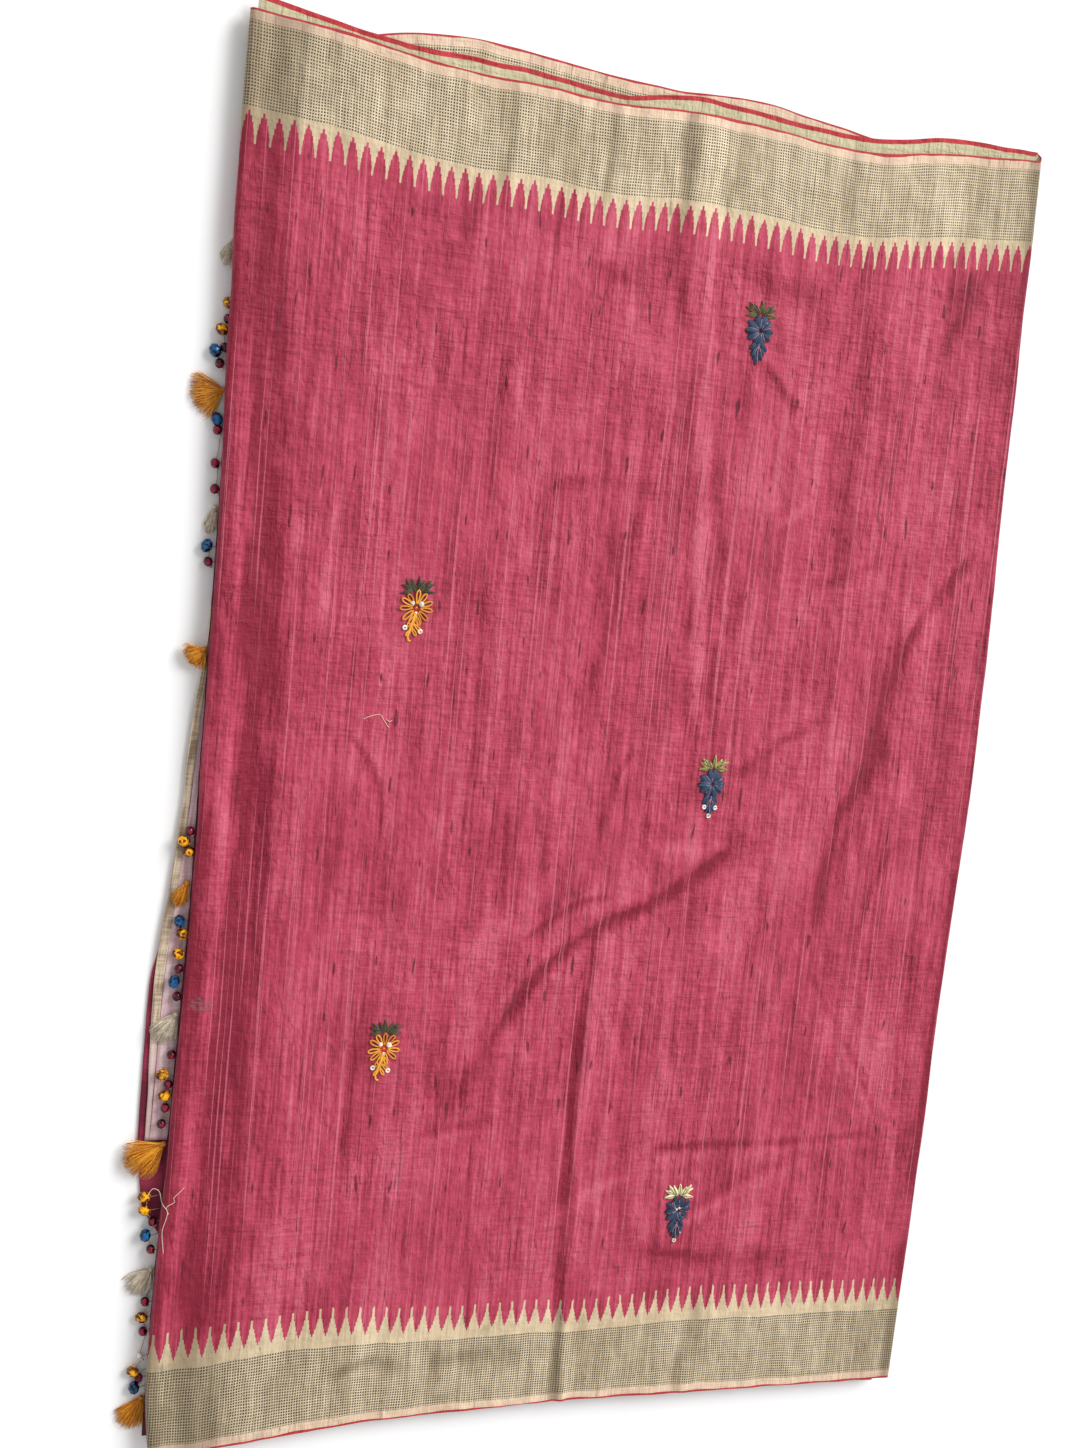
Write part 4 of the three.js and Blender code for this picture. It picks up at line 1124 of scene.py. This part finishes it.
def edge_strip(name, look, ends, bottom, top, outer_at, inner_at, material, seed):
    """A folded edge along Y: round at its outer side, closed, with small waves along it. Returns
    the piece and its flat size."""
    y = np.linspace(*ends)
    outer = outer_at(y) + 0.5 * waver(y, 26, seed)
    inner = inner_at(y)
    round_by, middle = (top - bottom) / 2, (top + bottom) / 2
    angles = np.linspace(-math.pi / 2, math.pi / 2, 9)
    over_x = np.linspace(0, 1, 14)[1:]
    section = []
    for x_share in over_x[::-1]:
        section.append((lerp(outer + round_by, inner, x_share), bottom + 0 * y))
    for angle in angles:
        x = outer + round_by * (1 - math.cos(angle))
        section.append((x, middle + round_by * math.sin(angle) + 0 * y))
    for x_share in over_x:
        x = lerp(outer + round_by, inner, x_share)
        dip = 0.16 * (1 + wander(x, y, 3.2, 30, seed + 1)) * math.sin(math.pi * x_share)
        section.append((x, top - dip))
    rings = np.stack([np.stack([x, y, z], 1) for x, z in section], 0)
    count, rows = rings.shape[:2]
    points = rings.reshape(-1, 3)
    faces = []
    for i in range(count):
        a = i * rows + np.arange(rows - 1)
        b = ((i + 1) % count) * rows + np.arange(rows - 1)
        faces += np.stack([a, a + 1, b + 1, b], 1).tolist()
    faces.append((np.arange(count) * rows).tolist())
    faces.append((np.arange(count) * rows + rows - 1)[::-1].tolist())
    ob = new_object(name + "_cloth", points, faces)
    counted = np.cumsum(np.concatenate([[0], np.hypot(*np.diff(rings[:, 0, [0, 2]], axis=0).T)]))
    cloth = np.stack([np.repeat(counted, rows), points[:, 1], np.full(len(points), FAR_IN)], 1)
    set_cloth(ob, cloth)
    finish_piece(ob, [material], "silk_" + look, [name])
    return ob, (float(np.abs(inner - outer).mean()) * MM, float(np.ptp(y)) * MM)


def inner_edges(materials):
    """The folded edges left of the left fold: the deep pink fold, the pale layer and the narrow golden
    hem. The pallu's edge and the golden hem are too narrow to be declared as sheets, so they go with
    the pale layer's, as its tassels and beads do."""
    hem_ends = (GOLDEN_HEM_EDGES[0]["y"], GOLDEN_HEM_EDGES[-1]["y"], 110)
    deep_ends = (DEEP_FOLD_EDGE[0]["y"], DEEP_FOLD_EDGE[-1]["y"], 130)

    def hem(column):
        return lambda y: read_table(GOLDEN_HEM_EDGES, "y", column, y)

    def deep_outer(y):
        return read_table(DEEP_FOLD_EDGE, "y", "outer", y) + DEEP_TUCK * smoothstep(-y, 350, 392)

    def pale_outer(y):
        return hem("inner")(y) + GAP

    above = DEEP_FOLD_TOP + GAP
    (deep, deep_flat), (pale, pale_flat), (golden, _) = [
        edge_strip(name, look, *form, materials[look], seed)
        for name, look, seed, form in (
            ("deep_pink_fold", "deep", 81, (deep_ends, 0, DEEP_FOLD_TOP, deep_outer, core_left)),
            ("pale_layer", "pale", 83, (hem_ends, above, PALE_TOP, pale_outer, core_left)),
            ("golden_hem", "hem", 85, (hem_ends, above, HEM_TOP, hem("outer"), hem("inner"))),
        )
    ]


def bead_line(y):
    return read_table(PALLU_EDGE, "y", "beads", y)


def pallu_edge(material):
    """The strip of the pallu's cloth that the tassels and beads are tied to."""
    y = np.linspace(PALLU_EDGE[0]["y"], PALLU_EDGE[-1]["y"], 260)[None, :]
    share = np.linspace(0, 1, 9)[:, None]
    outer = bead_line(y) + CLOTH_TO_BEADS + 0.3 * waver(y, 9, 91)
    x = lerp(outer, core_left(y), share)
    z = read_table(PALLU_EDGE, "y", "z", y) + 0.2 * wander(x, y, 4, 12, 92) * (1 - share)
    y_grid = y + 0 * x
    points = np.stack([x, y_grid, z], 2)
    cloth = np.stack([x, y_grid, FAR_IN + 0 * x], 2)
    ob = shell("pallu_edge_cloth", points, grid_normals(points), cloth)
    return finish_piece(ob, [material], "silk_deep", ["pallu_edge"])


# ---------------------------------------------------------------- tassels and beads

STRANDS_PER_TASSEL = 340
STRAND_RADIUS = 0.24
STRAND_SPREAD = 0.52  # of half the fan's width
WIDEST_STRAND = 1.05
TASSEL_THICKNESS = 3.6
WINDINGS = 5
WINDING_RADIUS = 1.9
WOUND_THREAD = 0.36


def tassel(row, number, materials):
    """Many fine strands from a wound head, fanned out over what they lie on."""
    rng = np.random.default_rng(200 + number)
    base = row["lies"] + GAP
    y = row["y"]
    head = np.array([float(bead_line(y)) + CLOTH_TO_BEADS - GAP - HEAD_RADIUS, y, base + HEAD_RADIUS])
    reach = np.array([*row["tip"], head[2]]) - head
    long = np.hypot(reach[0], reach[1])
    ahead = reach / long
    sideways = np.array([-ahead[1], ahead[0], 0])
    heap = Heap()
    heap.ball(head, (HEAD_RADIUS, HEAD_RADIUS * 0.9, HEAD_RADIUS), 0, 0.35)
    for k in range(WINDINGS):
        turn = np.linspace(0, 2 * math.pi, 15)[:-1]
        centre = head + ahead * (0.6 + 0.55 * k)
        circle = np.cos(turn)[:, None] * sideways + np.sin(turn)[:, None] * (0, 0, 1)
        loop = centre + WINDING_RADIUS * circle
        heap.tube(np.vstack([loop, loop[:1]]), WOUND_THREAD, 4, 0, 0.25 + 0.12 * (k % 2))
    half = row["fan"] / 2
    for k in range(STRANDS_PER_TASSEL):
        side = np.clip(rng.normal(0, STRAND_SPREAD), -WIDEST_STRAND, WIDEST_STRAND)
        length = (1 - 0.2 * side**2) * rng.uniform(0.72, 1.08)
        thick = TASSEL_THICKNESS * math.sqrt(max(0, 1 - (side / 1.1) ** 2)) + 0.5
        start = head + sideways * rng.uniform(-1.1, 1.1) + np.array([0, 0, rng.uniform(-1.0, 1.0)])
        tip = head + reach * length + sideways * side * half
        tip[2] = base + STRAND_RADIUS + rng.uniform(0, 1) * thick
        t = np.linspace(0, 1, 7)[:, None]
        bend = head + reach * 0.42 + sideways * side * half * rng.uniform(0.5, 0.95)
        bend[2] = max(base + 0.4, head[2] + rng.uniform(-1.4, 2.2))
        line = start * (1 - t) ** 2 + 2 * bend * t * (1 - t) + tip * t**2
        curl = rng.uniform(-0.8, 0.8) * np.sin(t * rng.uniform(4, 9) + rng.uniform(0, 6))
        line = line + sideways * curl * t
        line[:, 2] = np.maximum(line[:, 2], base + STRAND_RADIUS)
        radius = STRAND_RADIUS * np.array([1, 1, 1, 0.95, 0.9, 0.8, 0.55])
        heap.tube(line, radius, 3, 0, rng.uniform(0.05, 0.95))
    ob = heap.build(f"tassel_{number:02d}_strands")
    colour = row["colour"]
    return finish_piece(ob, [materials[colour]], "thread_" + colour, [f"tassel_{number:02d}"])


# Each string of beads: the height that it lies on, and its beads' kinds and places, down the edge.
BEAD_STRINGS = [
    (0, [
        ("yellow", -345, 349), ("maroon", -345, 337), ("yellow", -349, 329), ("maroon", -346, 316),
        ("blue", -353, 313), ("maroon", -349, 304),
    ]),
    (0, [
        ("blue", -348, 263), ("maroon", -347, 255), ("maroon", -347, 230), ("maroon", -346, 211),
    ]),
    (0, [
        ("blue", -349, 168), ("maroon", -347, 156),
    ]),
    (HEM_TOP, [
        ("maroon", -347, -51), ("yellow", -351, -59), ("yellow", -347, -67),
    ]),
    (HEM_TOP, [
        ("blue", -350, -122), ("yellow", -347, -132), ("yellow", -349, -148),
        ("maroon", -348, -160), ("blue", -351, -170), ("maroon", -348, -182),
    ]),
    (HEM_TOP, [
        ("maroon", -349, -229), ("yellow", -355, -245), ("maroon", -350, -253),
        ("yellow", -352, -262), ("maroon", -351, -272), ("maroon", -353, -285),
    ]),
    (DEEP_FOLD_TOP, [
        ("yellow", -362, -345), ("yellow", -361, -356), ("maroon", -354, -366),
        ("blue", -359, -377), ("maroon", -354, -389),
    ]),
    (0, [
        ("maroon", -355, -434), ("yellow", -357, -447), ("maroon", -355, -459),
        ("white", -356, -480), ("yellow", -361, -492), ("maroon", -356, -498), ("blue", -359, -506),
    ]),
]
# Each kind of bead: its radii, the slot of its glass, its sides and its rings.
BEAD_FORMS = {
    "maroon": ((3.5, 3.9, 3.5), 0, 20, 14),
    "yellow": ((5.4, 4.6, 4.0), 1, 8, 6),
    "blue": ((4.6, 5.6, 4.2), 2, 8, 6),
    "white": ((2.4, 2.4, 2.0), 3, 14, 8),
}
# painted shade at each bead's rim and painted light at its middle
PAINTED_BEAD_RIM = 0.8
SEED_BEAD = 1.25
TIE_RADIUS = 0.32


def bead_strings(materials):
    """The strings of glass beads, each bead with a small clear one beside it and a thread that
    ties it to the next and to the cloth's edge."""
    pieces = []
    for number, (lies, beads) in enumerate(BEAD_STRINGS, 1):
        rng = np.random.default_rng(300 + number)
        heap = Heap()
        places = []
        for kind, x, y in beads:
            radii, slot, sides, rings = BEAD_FORMS[kind]
            centre = np.array([x, y, lies + GAP + radii[2]])
            turn, shade = rng.uniform(-0.6, 0.6), rng.uniform(0.35, 0.65)
            heap.ball(centre, radii, slot, shade, sides, rings, turn, PAINTED_BEAD_RIM)
            seed = centre + (2.4, -3.6, SEED_BEAD - radii[2] + rng.uniform(0, 2))
            heap.ball(seed, (SEED_BEAD,) * 3, 3, 0.6, 8, 6)
            places.append((centre, seed))
            tied = np.array([float(bead_line(y)) + CLOTH_TO_BEADS - 0.2, y + rng.uniform(-1, 1), 0])
            tied[2] = float(read_table(PALLU_EDGE, "y", "z", y)) - 0.3
            rise = np.array([0, 0, 1.2])
            heap.tube([centre, (centre + tied) / 2 + rise, tied], TIE_RADIUS, 5, 4, 0.4)
        for (centre, seed), (after, _) in zip(places, places[1:]):
            drop = np.array([rng.uniform(0, 1.5), 0, -1.0])
            heap.tube([seed, (seed + after) / 2 + drop, after], TIE_RADIUS, 5, 4, 0.5)
        ob = heap.build(f"beads_{number}", cut=(1, 2))
        used = [materials[name] for name in ("maroon", "yellow", "blue", "clear", "tie")]
        pieces.append(finish_piece(ob, used, "bead_glass", [f"bead_string_{number}"]))
    return pieces


# ---------------------------------------------------------------- embroidered sprigs


def height_at(tree, x, y, otherwise=None):
    """The front's height there, or the other height past its fold."""
    hit = tree.ray_cast((x, y, ABOVE_ALL), (0, 0, -1))[0]
    return hit[2] if hit else otherwise


def round_at(angle, radius=1.0):
    return np.array([radius * math.cos(angle), radius * math.sin(angle)])


def ahead_and_across(angle):
    forward = round_at(angle)
    return forward, np.array([-forward[1], forward[0]])


PETALS = 11
THREAD = 0.62
SPRIG_SIZE = 0.8  # of the sizes that the tables below give
SEQUIN_RADIUS = 1.75
OVER_PETALS = 1.75  # the height of the threads that are laid over filled petals
SPRIGS = named_rows(
    "x y kind",
    (-184, 133, "gold"), (-179.5, -225, "gold"), (90, 380.5, "blue"), (91.5, 1, "ringed"),
    (102.5, -379, "cream"),
)


class Needle:
    """Lays thread on the front about one sprig's middle."""

    def __init__(self, row, tree, seed):
        self.x, self.y, self.tree = row["x"], row["y"], tree
        self.rng = np.random.default_rng(seed)
        self.heap = Heap()

    def place(self, x, y, lift):
        x, y = self.x + x * SPRIG_SIZE, self.y + y * SPRIG_SIZE
        return x, y, height_at(self.tree, x, y) + lift

    def lay(self, flat, lift, radius=THREAD, slot=0, shade=0.5, sides=6):
        """A thread through flat points, that high over the cloth."""
        lifts = np.broadcast_to(lift, len(flat))
        line = [self.place(x, y, h) for (x, y), h in zip(flat, lifts)]
        self.heap.tube(line, radius * 0.92, sides, slot, shade)

    def leaf(self, root, angle, length, width, slot, dome=1.3, thread=0.5, blunt=0.3):
        """A lobe filled with threads side by side from its root, pointed or, if blunt, round."""
        forward, across = ahead_and_across(angle)
        count = max(4, round(width / (thread * 1.5)))
        tapers = smoothstep(blunt, 0.0, 1.0)
        for k in range(count):
            side = 2 * (k + 0.5) / count - 1
            reach = length * (1 - lerp(0.5, 0.22, tapers) * side**2) * self.rng.uniform(0.95, 1.04)
            t = np.linspace(0, 1, 8)
            pointed = np.sin(math.pi * np.clip(t * 0.86 + 0.07, 0, 1)) ** 0.8
            rounded = 0.3 + 0.7 * smoothstep(t, 0, 0.55) - 0.25 * smoothstep(t, 0.75, 1)
            off = side * width / 2 * lerp(pointed, rounded, tapers)
            flat = [np.asarray(root) + forward * reach * a + across * b for a, b in zip(t, off)]
            high = 0.35 + dome * np.sqrt(max(0, 1 - side**2)) * np.sin(math.pi * np.clip(t, 0.03, 0.97))
            self.lay(flat, high, thread, slot, self.rng.uniform(0.1, 0.95), 5)

    def loop(self, root, angle, length, width, slot):
        """A petal of one thread that goes out, round its tip and back, tied down at its tip."""
        forward, across = ahead_and_across(angle)
        t = np.linspace(0, 2 * math.pi, 22)
        ahead = length * (0.5 - 0.5 * np.cos(t))
        off = width / 2 * np.sin(t) * (0.35 + 0.65 * ahead / length)
        flat = [np.asarray(root) + forward * a + across * b for a, b in zip(ahead, off)]
        self.lay(flat, 0.75 + 0.25 * np.sin(t / 2), THREAD * 1.15, slot, self.rng.uniform(0.35, 0.9))
        tip = np.asarray(root) + forward * length
        self.lay([tip - forward * 0.6, tip + forward * 1.5], 1.2, THREAD * 0.8, slot, 0.3)

    def knot(self, x, y, radius, slot, shade=0.5):
        radius *= 0.85
        radii = (radius, radius, radius * 0.8)
        self.heap.ball(self.place(x, y, radius * 0.7), radii, slot, shade, 10, 6)

    def sequin(self, x, y, slot):
        """A flat ring with a bead's hole in it."""
        turn = np.linspace(0, 2 * math.pi, 15)
        flat = [(x, y) + round_at(a, SEQUIN_RADIUS) for a in turn]
        self.lay(flat, 0.9, 0.85, slot, 0.7, 6)


# The leaves over a flower: where each starts, which way it points in degrees, its length and width.
LEAVES = named_rows(
    "root angle length width",
    ((0.5, 18), 92, 13, 4.8), ((2.5, 16), 62, 13, 5.0), ((4, 18), 22, 14, 5.4),
    ((5, 16.5), -8, 13, 5.0), ((7, 20), 50, 10, 4.6), ((-2, 16), 118, 13, 5.0),
    ((-4, 18), 158, 14, 5.4), ((-5, 16.5), 188, 12, 5.0), ((-7, 20), 130, 10, 4.6),
)
# The petals that hang under a blue flower, in the same way.
TAIL_PETALS = named_rows(
    "root angle length width",
    ((2, -12), -48, 11, 5.2), ((-2, -12), -132, 11, 5.2), ((2, -17), -56, 10, 4.8),
    ((-2, -17), -124, 10, 4.8), ((1, -22), -62, 9, 4.2), ((-1, -22), -118, 9, 4.2),
    ((0, -13), -90, 12, 5.0), ((0, -23), -90, 12, 4.6),
)
# The loops along a gold flower's tail.
TAIL_LOOPS = named_rows(
    "root angle length width",
    ((-2.4, -9), -118, 11, 4.4), ((1.6, -9), -78, 8.5, 3.8), ((-1.4, -16), -42, 10.5, 3.4),
    ((-3.0, -20), -58, 8.5, 3.2), ((-4.4, -22), -128, 7, 2.8),
)


def lay_leaves(needle, rows, slot, blunt, dome=1.1):
    for row in rows:
        angle = math.radians(row["angle"] + needle.rng.uniform(-7, 7))
        length = row["length"] * needle.rng.uniform(0.9, 1.06)
        needle.leaf(row["root"], angle, length, row["width"], slot, dome, 0.46, blunt)


def gold_sprig(needle):
    """Open loops of gold thread round a red knotted heart, with pearls, and a sprayed tail."""
    rng = needle.rng
    lay_leaves(needle, LEAVES, 1, 0.0)
    for k in range(PETALS):
        angle = math.pi / 2 + 2 * math.pi * k / PETALS + rng.uniform(-0.08, 0.08)
        root = round_at(angle, 4.0)
        needle.loop(root, angle, rng.uniform(11.5, 13.5), rng.uniform(4.6, 5.6), 0)
    for k in range(9):
        angle = 2 * math.pi * k / 9
        needle.knot(3.2 * math.cos(angle), 3.0 * math.sin(angle) - 0.8, 1.25, 2, rng.uniform(0.1, 0.95))
    for k in range(4):
        angle = 2 * math.pi * k / 4
        needle.knot(1.3 * math.cos(angle), 1.3 * math.sin(angle) - 0.8, 1.2, 0 if k == 1 else 2, 0.8)
    for x, y, radius in ((-4.4, 4.6, 2.1), (4.6, 4.0, 2.7), (-0.2, -4.8, 1.5)):
        needle.knot(x, y, radius, 3)
    stem = [(-1, -6), (-2.2, -13), (-5, -21), (-7, -28), (-6.2, -32), (-3.6, -33)]
    needle.lay(stem, 0.9, THREAD * 1.6, 0, 0.85)
    needle.lay([(1.0, -6), (-0.6, -13), (-3.2, -21), (-5.2, -27)], 0.9, THREAD * 1.2, 0, 0.5)
    for row in TAIL_LOOPS:
        needle.loop(row["root"], math.radians(row["angle"]), row["length"], row["width"], 0)
    needle.sequin(-10.2, -20.0, 3)
    needle.sequin(5.8, -23, 3)


def blue_sprig(needle):
    """Filled petals of blue thread, a few light threads between them and a tail of petals."""
    rng = needle.rng
    lay_leaves(needle, LEAVES, 1, 0.35)
    for row in LEAVES:
        turn = math.radians(row["angle"])
        root = np.array(row["root"])
        tip = root + round_at(turn, row["length"] * 0.8)
        needle.lay([root, (root + tip) / 2, tip], OVER_PETALS, 0.28, 4, 0.5, 5)
    lay_leaves(needle, TAIL_PETALS, 0, 0.75)
    for k in range(PETALS - 1):
        angle = math.pi / 2 + 2 * math.pi * (k + 0.5) / (PETALS - 1) + rng.uniform(-0.1, 0.1)
        root = round_at(angle, 1.6)
        needle.leaf(root, angle, rng.uniform(13, 15.5), 7.4, 0, 1.5, 0.5, 1.0)
    for k in range(9):
        angle = 2 * math.pi * (k + 0.2) / 9 + rng.uniform(-0.2, 0.2)
        bow = rng.uniform(-0.04, 0.04)
        flat = [round_at(angle + bow * r, r) for r in (3, 6, 9, 12)]
        needle.lay(flat, OVER_PETALS, 0.26, 2, rng.uniform(0.3, 0.9), 5)
    needle.lay([(0.4, -13), (-0.6, -22), (0.3, -33)], OVER_PETALS, 0.28, 2, 0.6, 5)
    for side in (-1, 1):
        vein = [(side * 0.5, -16), (side * 2.6, -20), (side * 4.2, -25)]
        needle.lay(vein, OVER_PETALS, 0.26, 2, 0.5, 5)


# The white rings and beads of each blue sprig.
BLUE_TRIMS = {
    "blue": [],
    "ringed": [(-6.6, -25, 1), (6.4, -25.5, 1), (-0.6, -34.5, 1), (-1.9, -1.6, 0.7), (3.6, 0.6, 0.7)],
    "cream": [(-1.3, 0.8, 1.3), (1.4, 2.4, 1.6), (6.2, -26.5, 0.9), (-0.4, -34.8, 1)],
}


def trim(needle, kind):
    for x, y, size in BLUE_TRIMS[kind]:
        if size == 1:
            needle.sequin(x, y, 3)
        else:
            needle.knot(x, y, size, 3)


def sprigs(tree, materials):
    looks = {
        "gold": ("gold", "olive", "red", "pearl"),
        "blue": ("blue", "leaf", "pinkish", "pearl", "olive"),
        "ringed": ("blue", "light_leaf", "pinkish", "pearl", "olive"),
        "cream": ("navy", "cream_leaf", "pinkish", "pearl", "olive"),
    }
    for k, row in enumerate(SPRIGS):
        needle = Needle(row, tree, 400 + k)
        if row["kind"] == "gold":
            gold_sprig(needle)
        else:
            blue_sprig(needle)
            trim(needle, row["kind"])
        ob = needle.heap.build(f"embroidery_{k + 1}")
        slot = "embroidery_gold" if row["kind"] == "gold" else "embroidery_blue"
        used = [materials[name] for name in looks[row["kind"]]]
        finish_piece(ob, used, slot, [f"sprig_{k + 1}"])


LOOSE_HEIGHT = 13.5  # of a thread where it lies past the front's fold, on the beads
LOOSE_LIFT = 0.45
LOOSE_RADIUS = 0.22
LOOSE_THREADS = [
    [(-333, -335), (-336, -338), (-341, -343), (-340, -346), (-346, -350), (-344, -356)],
    [(-361, -342), (-357, -336), (-352, -338), (-349, -348), (-345, -354), (-348, -370), (-346, -388)],
    [(-220, 43), (-213, 46), (-206, 47), (-202, 42), (-198, 37)],
    [(-201, 44), (-198, 42), (-196, 43)],
]


def loose_threads(tree, material):
    """Cream threads that lie loose on the front."""
    heap = Heap()
    for k, flat in enumerate(LOOSE_THREADS):
        at, x, y = smooth_path(flat, 1.2)
        line = [(a, b, height_at(tree, a, b, LOOSE_HEIGHT) + LOOSE_LIFT) for a, b in zip(x, y)]
        heap.tube(line, LOOSE_RADIUS, 5, 0, 0.5 + 0.1 * (k % 2))
    finish_piece(heap.build("loose_threads"), [material], "thread_grey")


# ---------------------------------------------------------------- floor and light

FLOOR_SIZE = 12
FLOOR_COLOUR = (0.97, 0.97, 0.97, 1)
FLOOR_DROP = 0.0003
WORLD_LIGHT = 0.61
KEY_LIGHT = {"place": (7.4, 7.0, 7.8), "size": 7.5, "power": 1700}


def floor_and_light():
    bpy.ops.mesh.primitive_plane_add(size=FLOOR_SIZE, location=(0, 0, -FLOOR_DROP))
    floor = bpy.context.object
    floor.name = "floor"
    sh = Shader("floor", 0.9, 0.1)
    floor.data.materials.append(sh.finish(FLOOR_COLOUR))
    light = bpy.data.lights.new("key", "AREA")
    light.size = KEY_LIGHT["size"]
    light.energy = KEY_LIGHT["power"]
    key = bpy.data.objects.new("key", light)
    key.location = KEY_LIGHT["place"]
    key.rotation_mode = "QUATERNION"
    key.rotation_quaternion = (-key.location).to_track_quat("-Z", "Y")
    bpy.context.scene.collection.objects.link(key)
    world = bpy.data.worlds.new("studio")
    world.use_nodes = True
    background = world.node_tree.nodes["Background"]
    background.inputs["Color"].default_value = (1, 1, 1, 1)
    background.inputs["Strength"].default_value = WORLD_LIGHT
    bpy.context.scene.world = world
    bpy.context.scene.view_settings.view_transform = "Standard"


# ---------------------------------------------------------------- the whole scene


def cloth_materials():
    looks = {"field": field_silk()}
    for row in BORDERS:
        looks[row["name"]] = border_silk(row)
    looks["reverse"] = reverse_silk()
    for name, light, dark, threads, *below in (
        ("deep", (168, 56, 84), (104, 22, 46), 2.0),
        ("pale", (244, 216, 218), (204, 164, 172), 4.0),
        ("hem", (230, 210, 184), (146, 122, 98), 1.3, (246, 218, 220)),
        ("pallu", (130, 48, 72), (70, 18, 36), 1.8),
    ):
        looks[name] = inner_silk(name, light, dark, threads, *below)
    return looks


THREAD_COLOURS = {
    "mustard": ((178, 80, 0), (255, 184, 44)),
    "grey": ((168, 150, 124), (255, 242, 222)),
    "gold": ((182, 96, 10), (248, 176, 58)),
    "olive": ((36, 32, 20), (90, 82, 56)),
    "red": ((110, 14, 20), (206, 48, 36)),
    "blue": ((12, 28, 54), (58, 82, 114)),
    "navy": ((8, 20, 44), (46, 68, 100)),
    "leaf": ((66, 54, 30), (128, 110, 66)),
    "light_leaf": ((104, 96, 44), (206, 190, 118)),
    "cream_leaf": ((196, 184, 126), (250, 244, 202)),
    "pinkish": ((150, 96, 120), (206, 160, 176)),
    "tie": ((84, 20, 34), (232, 214, 190)),
    "loose": ((206, 190, 160), (250, 240, 216)),
}
# the dark and light ends of each glass, between which its painted glints and shade run
GLASS_COLOURS = {
    "maroon": ((36, 0, 10), (158, 12, 54)),
    "yellow": ((84, 28, 0), (255, 178, 10)),
    "clear": ((176, 156, 160), (250, 240, 238)),
    "blue": ((0, 4, 24), (6, 94, 154)),
}


make_camera()
cloth_looks = cloth_materials()
threads = {name: thread_shader("thread_" + name, *pair) for name, pair in THREAD_COLOURS.items()}
threads["pearl"] = bead_shader("pearl", (214, 210, 190), (255, 255, 248), 0.15)
glass = {name: bead_shader("glass_" + name, *pair) for name, pair in GLASS_COLOURS.items()}
front_tree, front_points = front_panel(cloth_looks)
layers_at_selvedges(front_points, cloth_looks)
hidden_layers(cloth_looks["lower"])
pallu_pieces = [pallu_edge(cloth_looks["pallu"])]
pallu_pieces += [tassel(row, number, threads) for number, row in enumerate(TASSELS, 1)]
pallu_pieces += bead_strings({**glass, "tie": threads["tie"]})
inner_edges(cloth_looks)
sprigs(front_tree, threads)
loose_threads(front_tree, threads["loose"])
floor_and_light()
